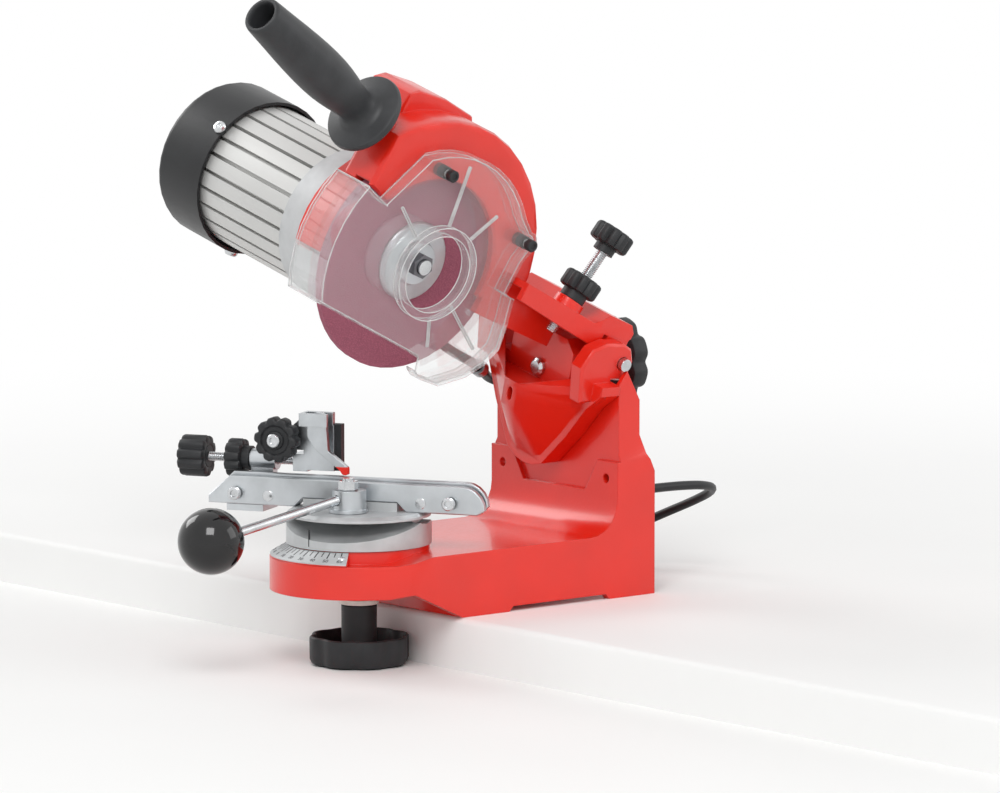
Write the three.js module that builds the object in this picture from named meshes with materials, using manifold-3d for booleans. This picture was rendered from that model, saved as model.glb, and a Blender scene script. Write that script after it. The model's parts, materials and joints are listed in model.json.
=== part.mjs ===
// Electric chainsaw sharpener, clamped to the edge of a bench. Millimetres, +Z up.
// +X points from the vise to the column, -Y to the operator's side with the wheel guard, +Y to the motor.
// The machine is drawn about the axis of its vise turntable. The finished group is shifted, so that the
// origin lies on the bench, under the middle of the front foot.
import * as THREE from 'three';
import { mergeVertices } from 'three/addons/utils/BufferGeometryUtils.js';
import { ConvexGeometry } from 'three/addons/geometries/ConvexGeometry.js';
import Module from 'manifold-3d';

const wasm = await Module();
wasm.setup();

// Clearances and facets
const gap = 0.3;
const overrun = 4;
const smallSides = 12;
const mediumSides = 20;
const largeSides = 36;
const wheelSides = 48;
const arcStep = 10;
const degree = Math.PI / 180;

// Base casting: round platform, neck with a hollow foot, column open at the back
const base = {
  halfWidth: 63.3, wall: 5.5, roof: 5,
  platformRadius: 57, platformBottom: 15.4, platformTop: 36.5,
  landWidth: 12, bossTop: 44.4, studBore: 6.3, hubRadius: 14, ribWidth: 4, ribBottom: 20,
  neckStart: -5, neckBottom: 18, footFront: 33.5, footWall: 12, footBack: 72, rimBottom: 3.3,
  heelFront: 156, backLow: 194.1, deckStart: 10, deckTop: 41, filletRadius: 22.5,
};
const platformBoss = base.platformRadius - base.landWidth;
const column = {
  ledgeFront: 162.5, wallFront: 165.5, wallThickness: 6, ledgeTop: 87.7, ledgeInner: 43,
  cutHalf: 31, cutBottom: 67.5, backHigh: 183, shoulderBottom: 80, shoulderTop: 104,
  wallTop: 133, upperHalf: 61, cheekPeakX: 172.8, cheekPeak: 145.8, cheekBack: 126.8, cheekWall: 3.6,
  holeRadius: 3, holeSide: 51.8, holeHeight: 76.5,
  ribSide: 24, ribThickness: 4, ribBottom: 36, ribTop: 125, ribBack: 183,
};

// Clamp under the platform
const swivel = {
  sleeveRadius: 9.2, washerRadius: 12.7, washerTop: 11.2, washerBottom: 8.3, ringBottom: 5.3,
  hubRadius: 11.4, knobRadius: 32.3, rimTop: -15, floorTop: -29.6, knobBottom: -33.6, chamfer: 3,
  rimWall: 3.4, studRadius: 5, studTop: 53, studEnd: -22,
};

// Degree sector on the platform
const scale = {
  bossGap: 0.5, rimLand: 0.4, thickness: 1, fromAngle: 93, toAngle: 223,
  screwRadius: 1.5, headRadius: 2.7, headHeight: 1.3, screwDepth: 7, screwAngles: [98, 217],
};
const scaleInner = platformBoss + scale.bossGap;
const scaleOuter = base.platformRadius - scale.rimLand;

// Turntable and tilting cradle; the vise is turned 60 degrees so that its rails run across the machine
const vise = { turn: -60, tiltAxis: 89 };
const turntable = {
  radius: 46.4, bottom: 44.7, top: 60, slope: 15, ridge: 9.2, troughRadius: 30.3,
};
const cradle = {
  radius: 46, bottom: 62.5, edgeTop: 64, chamfer: 3, top: 66, saddleRadius: 30, saddleHalf: 40,
  seatTop: 71.5, seatLeft: -36, seatRight: 28, seatFront: -5.5, seatBack: 14,
};
const rail = {
  slotHalf: 0.8, thickness: 4.9, left: -101, right: 87, bottom: 66, archTop: 71.8, archSlope: 6,
  frontTop: 84, rearTop: 86, leftStep: 5, leftSlope: 15, rightRadius: 15, rightFoot: 5,
  screws: [-82, 64], screwHeight: 73, screwRadius: 2.5, headRadius: 4.2, headHeight: 2.4, travel: 0.75,
  dowels: [-60, 44], dowelHeight: 72, dowelRadius: 3.6, edge: 0.6,
};
const clamp = {
  side: -18.5, camOffset: 1.5, camRadius: 11, flangeRadius: 12.4, flangeBottom: 66.3, camBottom: 68.3,
  camTop: 80.4, postRadius: 4, postBottom: 62.8, postTop: 88, nutRadius: 6.4, nutHeight: 5.6,
  rodRadius: 3.15, rodHeight: 76, rodStart: 6.5, ballRadius: 21, ballX: -55.6, ballY: -112.3, ballZ: 57.5,
  rodEnd: 12,
};

// Chain stop on the rear of the vise
const stop = {
  axisY: 17, axisZ: 92.5, screwRadius: 3, screwEnd: -37, screwStart: -124.5,
  knobRadius: 13.5, knobFrom: -127.5, knobTo: -109.5, lockRadius: 12.5, lockFrom: -95.5, lockTo: -84.5,
  lockHubRadius: 8, lockHubTo: -79.8, barrelFrom: -79.5, barrelTo: -62, barrelRadius: 6.5,
  carrierLeft: -89, carrierRight: -64, carrierBottom: 61.5, carrierFront: -4, carrierBack: 21,
  uprightLeft: -79, uprightFront: 13, uprightTop: 90,
  plateFront: 7.5, plateBack: 10, nutLeft: -48, nutRight: -38, nutBack: 22.5, nutHalf: 5.5,
  blockRight: -16, blockLeft: -30, blockBack: 16, blockBottom: 88, blockTop: 118,
  hingeX: -27, hingeZ: 123.6, lugTop: 125.9, pinRadius: 1.6, lugFront: -5, lugInner: 2.4, springSpace: 6, lugLeft: 12, bridge: 2.5,
  pawlHalf: 2, pawlTip: 87.2, clampX: -55, clampZ: 108, clampRadius: 14.6, clampFront: -7, clampBack: 4,
  clampHubRadius: 6, clampScrewRadius: 3, clampScrewBack: 14, wireRadius: 0.4, springTurns: 3,
};

// Bracket that tilts about a lengthwise bolt in the column, drawn upright and then tilted
const tilt = { axisHeight: 145.1, angle: 14.8 };
const bracket = {
  noseX: 128.5, noseHalf: 7, noseTop: -7.5, noseBottom: -25, slotHalf: 2.3, slotTop: -12, slotBottom: -21,
  slotDepth: 9, plateFront: 150, plateBack: 165.2, half: 63, top: 8, vertex: -66,
  uprightHalf: 30, uprightTop: 27, webTop: 0, earInner: 42, earOuter: 54, earSize: 50,
  pocketFront: 160.5, pocketInner: 14, pocketBottom: 9,
};
const hinge = { x: 171.5, z: 20, pinRadius: 4.2, pinHalf: 58, swing: 23.24 };
const tiltBolt = {
  radius: 4, headRadius: 6, headFront: 146, end: 213, bossRadius: 14, bossEnd: 200,
  washerRadius: 10, washerThickness: 1.8, knobRadius: 28.6, knobThickness: 13, knobHub: 7, knobHubRadius: 12,
};
const returnSpring = { wireRadius: 1, coilRadius: 6, from: 16, pitch: 2.6, turns: 5, leg: 9 };

// Head, drawn about the wheel axis with its arm level; the hinge pin is armLength to the right
const armLength = 160.4;
const wheel = { radius: 72.5, halfThickness: 2.35, boreRadius: 11.15 };
const flange = {
  radius: 26.3, thickness: 6.3, lip: 2.4, hubRadius: 14, spigotRadius: 10.8, nutRadius: 8.2, nutHeight: 5.6,
};
const spindle = {
  radius: 5, front: -17, collarRadius: 8, collarEnd: 12.7, rear: 188, rotorRadius: 26, rotorFrom: 80, rotorTo: 148,
  bearingRadius: 10, bearingWidth: 6,
};
const housing = {
  front: -12, back: 20, radius: 96, wall: 4.5, edge: 4, leftX: -68, leftBottom: 32, rightAngle: 14,
  rightX: 90, lowerZ: -11, mouthRadius: 58,
  collarInner: 51.5, collarOuter: 60, collarEnd: 42, collarFrom: 60, collarTo: 200,
  wheelSpace: 3.5, wheelSpaceHalf: 7,
};
const switchBox = {
  left: -52, right: 9, bottom: 55, top: 101, back: 52, front: 12, corner: 7, edge: 2.5,
  pocketLeft: -38, pocketRight: -10, pocketBottom: 67, pocketTop: 89, pocketDepth: 9, frameWall: 3,
  rockerHalf: 9.4, rockerRise: 3,
};
const arm = {
  startInset: 34, nearInset: 25, plateTopStart: 20.6, plateTopEnd: 15.2, thickness: 4.5, nearSide: -35, farSide: 30, lip: 4.5,
  lipDepthStart: 12, lipDepthEnd: 14, lipToHinge: 14.4, webFrom: -12, webTo: -6, webBottom: -12.5, webToHinge: 26.4,
  rearToHinge: 20.4, rearOverHinge: 9.6, rearTop: 24.5, rearBottom: 11.5, rearHalf: 41.5, flareToHinge: 40.4,
  knuckleRadius: 10.5, knuckleInner: 31,
};
const depth = {
  side: -25, toHinge: 43.3, lowerZ: -2, lean: 9.4, screwRadius: 3.9, length: 69, bossRadius: 10,
  bossFrom: 6, bossTo: 24, collarRadius: 8.5, collarLength: 6, wheelRadius: 13, wheelHeight: 11.5,
  knobRadius: 13.6, knobHeight: 12, knobHubRadius: 7, knobHubHeight: 5, knobFrom: 61,
};
const motor = {
  bellRadius: 50, bellFrom: 20.3, bellEnd: 71, bellWall: 6, statorRadius: 48, statorFrom: 71.3, statorTo: 163.5,
  fins: 26, grooveDepth: 4.5, grooveShare: 0.2, statorBore: 27, rearWall: 9.5,
  coverRadius: 52, coverWall: 2, coverFrom: 156, coverTo: 201, coverRound: 5,
  ventInner: 14, ventOuter: 40, ventCount: 12, ventHalf: 2.4,
  screwAngles: [160, 280, 40], screwY: 160, screwRadius: 2, screwHeadRadius: 4.3, screwHead: 2,
  fanRadius: 40, fanFrom: 170, fanTo: 188, fanHub: 9, fanDisc: 2, blades: 8, bladeHalf: 1,
  glandAngle: -30, glandY: 60, glandRadius: 5.6, glandLength: 9,
};
const handle = {
  angle: 138.552, standOff: 8.993, y: 11, lean: 13, length: 122, bossRadius: 12, bossLength: 16,
  discRadius: 26.6, discThickness: 6, neckRadius: 11.8, bulgeRadius: 16, tipRadius: 12.6, boreRadius: 9,
  boreDepth: 16,
};
const guard = {
  face: -24, wall: 2.3, rim: -12.4, ringInner: 25.5, ringOuter: 31, ringFront: -29.7,
  size: 100, outerRadius: 78, lobeRadius: 8, skirtRadius: 88, skirtBack: 10, skirtFrom: 159, skirtTo: 213,
  bosses: [[-25, 60], [65, 42]], spacerRadius: 4.2, screwRadius: 2, screwHeadRadius: 4.2, screwHead: 6.5,
  ribHalf: 0.7, ribHeight: 1, ribs: [[100, 40], [60, 26], [150, 26], [-28, 40], [-60, 20]],
};

// Leads and mains cord
const terminal = { wallGap: 1.8, width: 28, depth: 16.2, bottom: 50, height: 32 };
const relief = { rise: 14.6, radius: 6.2, tip: 4, length: 20 };
const coil = {
  x: 196, y: 113, innerRadius: 26.4, pitch: 6.6, turnsPerLayer: 2.625, layerRise: 6.6, tail: 40,
  stepsPerTurn: 24, sides: 6,
};
const cord = {
  radius: 3, sides: 8, steps: 40,
  route: [
    [217, -42, 64.6], [236, -42, 64.2], [255, -40.5, 62.6], [269, -34, 59], [276.5, -21.5, 53.4],
    [276.5, -6, 46.4], [271, 10, 38.8], [263, 25, 31], [254.5, 40, 23.2], [247, 57, 15.4], [241.5, 75, 8.6],
    [239.7, 89, 4.6], [239.7, 98, 3.2],
  ],
};
const lead = {
  radius: 3.2, sides: 8, steps: 40, clipAt: 5,
  route: [
    [92, 46, 168], [114, 46, 154], [132, 48, 145], [142, 51.5, 140], [151, 57.5, 136], [162, 66, 131],
    [175, 68.5, 126], [188, 66, 120], [198, 55, 113], [203, 34, 106], [203, 8, 101], [201, -16, 98.5],
    [196, -33, 98], [187, -41.5, 96.5], [180, -42, 91], [180, -42, 86.5],
  ],
};
const plug = { width: 32, height: 19, length: 44, edge: 4, pinRadius: 2.4, pinLength: 19, pinSpacing: 19 };
const clip = { inner: 3.6, outer: 5.6, width: 7 };

// Finishes
const redPaint = new THREE.MeshStandardMaterial({ color: 0xe3261b, roughness: 0.3, metalness: 0 });
const blackPlastic = new THREE.MeshStandardMaterial({ color: 0x2c2d2f, roughness: 0.6, metalness: 0 });
const glossBlack = new THREE.MeshStandardMaterial({ color: 0x161617, roughness: 0.12, metalness: 0 });
const whitePlastic = new THREE.MeshStandardMaterial({ color: 0xe8e6e0, roughness: 0.5, metalness: 0 });
const zinc = new THREE.MeshStandardMaterial({ color: 0xb4b9bd, roughness: 0.35, metalness: 0.9 });
const bareAluminium = new THREE.MeshStandardMaterial({ color: 0xb9babb, roughness: 0.5, metalness: 0.6 });
const steel = new THREE.MeshStandardMaterial({ color: 0xc6c8ca, roughness: 0.28, metalness: 1 });
const darkSteel = new THREE.MeshStandardMaterial({ color: 0x4a4b4d, roughness: 0.4, metalness: 0.9 });
const clearPlastic = new THREE.MeshStandardMaterial({
  color: 0xe9ecec, roughness: 0.1, metalness: 0, transparent: true, opacity: 0.35,
});
const abrasive = new THREE.MeshStandardMaterial({ color: 0x97566a, roughness: 0.95, metalness: 0 });
const cordRubber = new THREE.MeshStandardMaterial({ color: 0x1e1e1f, roughness: 0.55, metalness: 0 });

// Solids from geometries, and their joins and cuts
function toSolid(geometry) {
  const bare = geometry.clone();
  for (const name of Object.keys(bare.attributes)) {
    if (name !== 'position') bare.deleteAttribute(name);
  }
  const merged = mergeVertices(bare);
  const place = merged.attributes.position;
  const corners = [new THREE.Vector3(), new THREE.Vector3(), new THREE.Vector3()];
  const kept = [];
  let volume = 0;
  for (let i = 0; i < merged.index.count; i += 3) {
    const ids = [0, 1, 2].map((k) => merged.index.getX(i + k));
    if (ids[0] === ids[1] || ids[1] === ids[2] || ids[2] === ids[0]) continue;
    ids.forEach((id, k) => corners[k].fromBufferAttribute(place, id));
    volume += corners[0].dot(corners[1].cross(corners[2]));
    kept.push(ids);
  }
  const triVerts = kept.flatMap(([a, b, c]) => (volume < 0 ? [a, c, b] : [a, b, c]));
  return new wasm.Manifold(new wasm.Mesh({
    numProp: 3, vertProperties: new Float32Array(place.array), triVerts: new Uint32Array(triVerts),
  }));
}

function fromSolid(solid) {
  const mesh = solid.getMesh();
  const geometry = new THREE.BufferGeometry();
  geometry.setAttribute('position', new THREE.BufferAttribute(new Float32Array(mesh.vertProperties), 3));
  geometry.setIndex(new THREE.BufferAttribute(new Uint32Array(mesh.triVerts), 1));
  return geometry;
}

function join(...parts) {
  return fromSolid(parts.map(toSolid).reduce((sum, part) => sum.add(part)));
}

function cut(body, ...cutters) {
  return fromSolid(cutters.map(toSolid).reduce((rest, cutter) => rest.subtract(cutter), toSolid(body)));
}

function common(...parts) {
  return fromSolid(parts.map(toSolid).reduce((rest, part) => rest.intersect(part)));
}

// Axes: a slab's outline is drawn in X-Y, Y-Z or X-Z and raised along the third axis
const axisX = new THREE.Vector3(1, 0, 0);
const axisY = new THREE.Vector3(0, 1, 0);
const axisZ = new THREE.Vector3(0, 0, 1);
const slabTurn = {
  x: new THREE.Matrix4().makeBasis(axisY, axisZ, axisX),
  y: new THREE.Matrix4().makeBasis(axisX, axisZ, axisY.clone().negate()),
  z: new THREE.Matrix4(),
};
const roundTurn = {
  x: new THREE.Matrix4().makeBasis(axisY, axisZ, axisX),
  y: new THREE.Matrix4().makeBasis(axisZ, axisX, axisY),
  z: new THREE.Matrix4(),
};

function slab(axis, outline, from, to, edge = 0, edgeSegments = 1) {
  const shape = new THREE.Shape(outline.map(([u, v]) => new THREE.Vector2(u, v)));
  const low = axis === 'y' ? -to : from;
  const geometry = new THREE.ExtrudeGeometry(shape, {
    depth: to - from - 2 * edge, steps: 1, bevelEnabled: edge > 0, bevelThickness: edge, bevelSize: edge,
    bevelOffset: -edge, bevelSegments: edgeSegments, curveSegments: smallSides,
  });
  return geometry.translate(0, 0, low + edge).applyMatrix4(slabTurn[axis]);
}

function box(x0, x1, y0, y1, z0, z1) {
  const geometry = new THREE.BoxGeometry(x1 - x0, y1 - y0, z1 - z0);
  return geometry.translate((x0 + x1) / 2, (y0 + y1) / 2, (z0 + z1) / 2);
}

// A profile is a list of [radius, place along the axis]
function revolve(axis, profile, sides = mediumSides) {
  const points = profile.map(([r, h]) => new THREE.Vector2(r, h));
  const onAxis = profile[0][0] === 0 && profile[profile.length - 1][0] === 0;
  if (!onAxis) points.push(points[0].clone());
  const geometry = new THREE.LatheGeometry(points, sides).rotateX(Math.PI / 2);
  return geometry.applyMatrix4(roundTurn[axis]);
}

function drum(axis, radius, from, to, sides = mediumSides) {
  return revolve(axis, [[0, from], [radius, from], [radius, to], [0, to]], sides);
}

function sleeve(axis, outer, inner, from, to, sides = mediumSides) {
  return revolve(axis, [[inner, from], [outer, from], [outer, to], [inner, to]], sides);
}

function hexagon(axis, radius, from, to) {
  return drum(axis, radius, from, to, 6);
}

function hull(points) {
  return new ConvexGeometry(points.map(([x, y, z]) => new THREE.Vector3(x, y, z)));
}

function mirrored(points) {
  return [...points, ...points.map(([u, v]) => [-u, v]).reverse()];
}

function arc(radius, fromAngle, toAngle, centre = [0, 0], step = arcStep) {
  const count = Math.max(2, Math.round(Math.abs(toAngle - fromAngle) / step));
  return Array.from({ length: count + 1 }, (_, i) => {
    const angle = (fromAngle + ((toAngle - fromAngle) * i) / count) * degree;
    return [centre[0] + radius * Math.cos(angle), centre[1] + radius * Math.sin(angle)];
  });
}

function ringSector(inner, outer, fromAngle, toAngle, step = arcStep) {
  return [...arc(outer, fromAngle, toAngle, [0, 0], step), ...arc(inner, toAngle, fromAngle, [0, 0], step)];
}

// Round knob with finger notches
function lobed(axis, radius, notch, lobes, from, to, edge) {
  const pointsPerLobe = 4;
  const count = lobes * pointsPerLobe;
  const outline = Array.from({ length: count }, (_, i) => {
    const angle = (2 * Math.PI * i) / count;
    const reach = radius - (i % pointsPerLobe === 0 ? notch : 0);
    return [reach * Math.cos(angle), reach * Math.sin(angle)];
  });
  return slab(axis, outline, from, to, edge);
}

// Open wire or cord: rings of a few sides swept along points, closed at both ends
function wire(points, radius, sides) {
  const places = [];
  const faces = [];
  const tangent = new THREE.Vector3();
  const side = new THREE.Vector3();
  const up = new THREE.Vector3();
  points.forEach((point, i) => {
    const before = points[Math.max(i - 1, 0)];
    const after = points[Math.min(i + 1, points.length - 1)];
    tangent.subVectors(after, before).normalize();
    if (i === 0) side.crossVectors(Math.abs(tangent.z) < 0.9 ? axisZ : axisX, tangent).normalize();
    side.addScaledVector(tangent, -side.dot(tangent)).normalize();
    up.crossVectors(tangent, side);
    for (let k = 0; k < sides; k += 1) {
      const angle = (2 * Math.PI * k) / sides;
      const place = point.clone().addScaledVector(side, radius * Math.cos(angle));
      places.push(...place.addScaledVector(up, radius * Math.sin(angle)).toArray());
    }
  });
  for (let i = 0; i + 1 < points.length; i += 1) {
    for (let k = 0; k < sides; k += 1) {
      const a = i * sides + k;
      const b = i * sides + ((k + 1) % sides);
      faces.push(a, b, b + sides, a, b + sides, a + sides);
    }
  }
  const last = (points.length - 1) * sides;
  for (let k = 1; k + 1 < sides; k += 1) {
    faces.push(0, k + 1, k);
    faces.push(last, last + k, last + k + 1);
  }
  const geometry = new THREE.BufferGeometry();
  geometry.setAttribute('position', new THREE.Float32BufferAttribute(places, 3));
  geometry.setIndex(faces);
  return geometry;
}

function tube(path, { radius, sides, steps }) {
  const corner = 360 / sides;
  const section = new THREE.Shape(arc(radius, 0, 360 - corner, [0, 0], corner).map(([u, v]) => (
    new THREE.Vector2(u, v))));
  return new THREE.ExtrudeGeometry(section, { steps, extrudePath: path, bevelEnabled: false });
}

function helix(axis, centre, radius, from, pitch, turns, startAngle) {
  const stepsPerTurn = 8;
  const turn = roundTurn[axis];
  return Array.from({ length: turns * stepsPerTurn + 1 }, (_, i) => {
    const angle = startAngle * degree + (2 * Math.PI * i) / stepsPerTurn;
    const point = new THREE.Vector3(radius * Math.cos(angle), radius * Math.sin(angle), 0);
    point.z = from + (pitch * i) / stepsPerTurn;
    return point.applyMatrix4(turn).add(centre);
  });
}

// Scene graph: machine, turning vise, tilting cradle, tilting bracket, swinging head
const machine = new THREE.Group();
machine.position.x = -(base.footFront + base.footWall / 2);
const viseFrame = new THREE.Group();
viseFrame.rotation.z = vise.turn * degree;
const bracketFrame = new THREE.Group();
bracketFrame.position.z = tilt.axisHeight;
bracketFrame.rotation.x = tilt.angle * degree;
const headFrame = new THREE.Group();
headFrame.position.set(hinge.x, 0, hinge.z);
headFrame.rotation.y = hinge.swing * degree;
const wheelFrame = new THREE.Group();
wheelFrame.position.x = -armLength;
machine.add(viseFrame, bracketFrame);
bracketFrame.add(headFrame);
headFrame.add(wheelFrame);

function piece(frame, name, material, geometry) {
  const flat = fromSolid(toSolid(geometry)).toNonIndexed();
  flat.computeVertexNormals();
  const mesh = new THREE.Mesh(flat, material);
  mesh.name = name;
  frame.add(mesh);
  return mesh;
}

// Base casting
function baseCasting() {
  const b = base;
  const c = column;
  const wallTangent = b.deckTop + b.filletRadius;
  const fillet = arc(b.filletRadius, 270, 360, [c.ledgeFront - b.filletRadius, wallTangent], 15);
  const side = [
    [-b.platformRadius, b.platformBottom], [b.neckStart - b.hubRadius, b.platformBottom],
    [b.neckStart, b.neckBottom], [b.footFront, 0], [b.footBack, 0], [b.footBack + b.rimBottom, b.rimBottom],
    [b.heelFront - b.rimBottom, b.rimBottom], [b.heelFront, 0], [b.backLow, 0], [b.backLow, c.shoulderBottom],
    [c.backHigh, c.shoulderTop], [c.backHigh, c.cheekBack], [c.cheekPeakX, c.cheekPeak],
    [c.ledgeFront, c.wallTop], ...fillet.reverse(), [b.deckStart, b.deckTop],
    [-b.hubRadius, b.platformTop], [-b.platformRadius, b.platformTop],
  ];
  const tangent = Math.acos(b.platformRadius / Math.hypot(b.halfWidth, b.neckStart)) / degree;
  const corner = Math.atan2(b.halfWidth, b.neckStart) / degree;
  const plan = (radius, half) => [
    ...arc(radius, corner + tangent, 360 - corner - tangent, [0, 0], 6), [b.neckStart, -half],
    [b.backLow + overrun, -half], [b.backLow + overrun, half], [b.neckStart, half],
  ];
  const front = mirrored([
    [b.halfWidth, -overrun], [b.halfWidth, c.ledgeTop], [c.upperHalf, c.ledgeTop + overrun],
    [c.upperHalf, c.cheekPeak + overrun],
  ]);
  const outer = common(
    slab('y', side, -b.halfWidth, b.halfWidth),
    slab('z', plan(b.platformRadius, b.halfWidth), -overrun, c.cheekPeak + overrun),
    slab('x', front, -b.platformRadius - overrun, b.backLow + overrun),
  );
  const inner = b.filletRadius + b.roof;
  const innerFillet = arc(inner, 270, 360, [c.wallFront + c.wallThickness - inner, wallTangent], 15);
  const roofZ = b.platformTop - b.roof;
  const hollowSide = [
    [-b.platformRadius, -overrun], [-b.platformRadius, roofZ], [b.deckStart, roofZ],
    [b.deckStart + b.roof, b.deckTop - b.roof], ...innerFillet, [c.wallFront + c.wallThickness, c.cheekPeak + overrun],
    [b.backLow + overrun, c.cheekPeak + overrun], [b.backLow + overrun, -overrun],
  ];
  const hollowHalf = b.halfWidth - b.wall;
  const hollow = common(
    slab('y', hollowSide, -hollowHalf, hollowHalf),
    slab('z', plan(b.platformRadius - b.wall, hollowHalf), -overrun, c.cheekPeak + overrun + overrun),
  );
  const recess = mirrored([
    [c.cutHalf, c.cutBottom], [c.ledgeInner, c.ledgeTop], [b.halfWidth + overrun, c.ledgeTop],
    [b.halfWidth + overrun, c.cheekPeak + overrun],
  ]);
  const neckGap = box(
    c.ledgeFront - overrun, c.backHigh + overrun, -c.upperHalf + c.cheekWall, c.upperHalf - c.cheekWall,
    c.wallTop, c.cheekPeak + overrun,
  );
  let body = cut(outer, hollow, slab('x', recess, c.ledgeFront - overrun, c.wallFront), neckGap);
  const hub = drum('z', b.hubRadius, b.platformBottom, b.platformTop);
  const spokes = [0, 60, 120].map((angle) => box(
    -b.platformRadius + b.wall / 2, b.platformRadius - b.wall / 2, -b.ribWidth / 2, b.ribWidth / 2,
    b.ribBottom, b.platformTop - b.roof / 2,
  ).rotateZ(angle * degree));
  const footWall = box(
    b.footFront, b.footFront + b.footWall, -b.halfWidth + b.wall / 2, b.halfWidth - b.wall / 2, 0, b.platformTop,
  );
  const ribs = [-1, 1].map((s) => box(
    c.wallFront, c.ribBack, s * c.ribSide - c.ribThickness / 2, s * c.ribSide + c.ribThickness / 2,
    c.ribBottom, c.ribTop,
  ));
  const boss = drum('x', tiltBolt.bossRadius, c.wallFront, tiltBolt.bossEnd).translate(0, 0, tilt.axisHeight);
  const bossWeb = box(
    c.wallFront, c.wallFront + c.wallThickness, -tiltBolt.bossRadius, tiltBolt.bossRadius, c.ribTop, tilt.axisHeight,
  );
  const seat = drum('z', platformBoss, b.platformTop - b.roof / 2, b.bossTop, largeSides);
  body = join(body, hub, ...spokes, footWall, ...ribs, boss, bossWeb, seat);
  const land = slab('z', ringSector(platformBoss + gap / 2, b.platformRadius + overrun, scale.fromAngle - 3,
    scale.toAngle + 3, 6), b.platformTop, b.bossTop + overrun);
  const studBore = drum('z', b.studBore, -overrun, b.bossTop + overrun);
  const boltBore = drum('x', tiltBolt.radius + gap, c.ledgeFront, tiltBolt.bossEnd + overrun);
  const holes = [-1, 1].map((s) => (
    drum('x', c.holeRadius, c.ledgeFront - overrun, c.backHigh).translate(0, s * c.holeSide, c.holeHeight)));
  const scaleHoles = scale.screwAngles.map((angle) => scaleScrewPlace(
    drum('z', scale.screwRadius + gap, b.platformTop - scale.screwDepth - gap, b.bossTop, smallSides), angle));
  return cut(body, land, studBore, boltBore.translate(0, 0, tilt.axisHeight), ...holes, ...scaleHoles);
}

function scaleScrewPlace(geometry, angle) {
  return geometry.translate((scaleInner + scaleOuter) / 2, 0, 0).rotateZ(angle * degree);
}

piece(machine, 'base_casting', redPaint, baseCasting());

// Degree sector with its two rivets
const scaleBottom = base.platformTop + gap;
const scaleTop = scaleBottom + scale.thickness;
const sector = slab('z', ringSector(scaleInner, scaleOuter, scale.fromAngle, scale.toAngle, 6),
  scaleBottom, scaleTop);
piece(machine, 'angle_scale_plate', bareAluminium, join(sector, ...scale.screwAngles.map((angle) => (
  scaleScrewPlace(revolve('z', [
    [0, base.platformTop - scale.screwDepth], [scale.screwRadius, base.platformTop - scale.screwDepth],
    [scale.screwRadius, scaleBottom + gap], [scale.headRadius, scaleBottom + gap],
    [scale.headRadius, scaleTop + scale.headHeight / 2], [scale.screwRadius, scaleTop + scale.headHeight],
    [0, scaleTop + scale.headHeight],
  ], smallSides), angle)))));

// Sleeve, washer, ring and cup knob that clamp the turntable from below
const sleeveTop = base.platformBottom - gap;
piece(machine, 'swivel_bush', darkSteel, revolve('z', [
  [swivel.studRadius + gap, swivel.washerBottom + gap], [swivel.washerRadius, swivel.washerBottom + gap],
  [swivel.washerRadius, swivel.washerTop], [swivel.sleeveRadius, swivel.washerTop],
  [swivel.sleeveRadius, sleeveTop], [swivel.studRadius + gap, sleeveTop],
]));
piece(machine, 'swivel_thrust_ring', whitePlastic,
  sleeve('z', swivel.washerRadius, swivel.studRadius + gap, swivel.ringBottom, swivel.washerBottom));
const knobInner = swivel.knobRadius - swivel.rimWall;
piece(machine, 'swivel_lock_knob', blackPlastic, revolve('z', [
  [0, swivel.studEnd - gap], [swivel.studRadius + gap, swivel.studEnd - gap],
  [swivel.studRadius + gap, swivel.ringBottom - gap], [swivel.hubRadius, swivel.ringBottom - gap],
  [swivel.hubRadius, swivel.floorTop], [knobInner, swivel.floorTop], [knobInner, swivel.rimTop],
  [swivel.knobRadius, swivel.rimTop], [swivel.knobRadius, swivel.knobBottom + swivel.chamfer],
  [swivel.knobRadius - swivel.chamfer, swivel.knobBottom], [0, swivel.knobBottom],
], largeSides));

// Turntable with a trough for the cradle
const slopeDrop = Math.tan(turntable.slope * degree) * (turntable.radius + overrun - turntable.ridge);
const slopes = [-1, 1].map((s) => slab('x', [
  [s * turntable.ridge, turntable.top], [s * (turntable.radius + overrun), turntable.top - slopeDrop],
  [s * (turntable.radius + overrun), turntable.top + overrun], [s * turntable.ridge, turntable.top + overrun],
], -turntable.radius - overrun, turntable.radius + overrun));
const trough = drum('x', turntable.troughRadius, -turntable.radius - overrun, turntable.radius + overrun, wheelSides)
  .translate(0, 0, vise.tiltAxis);
piece(viseFrame, 'turntable', bareAluminium, cut(
  drum('z', turntable.radius, turntable.bottom, turntable.top, largeSides), ...slopes, trough,
  drum('z', swivel.studRadius + gap, turntable.bottom - overrun, swivel.studTop + gap),
));
piece(viseFrame, 'swivel_stud', steel, drum('z', swivel.studRadius, swivel.studEnd, swivel.studTop));

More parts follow.
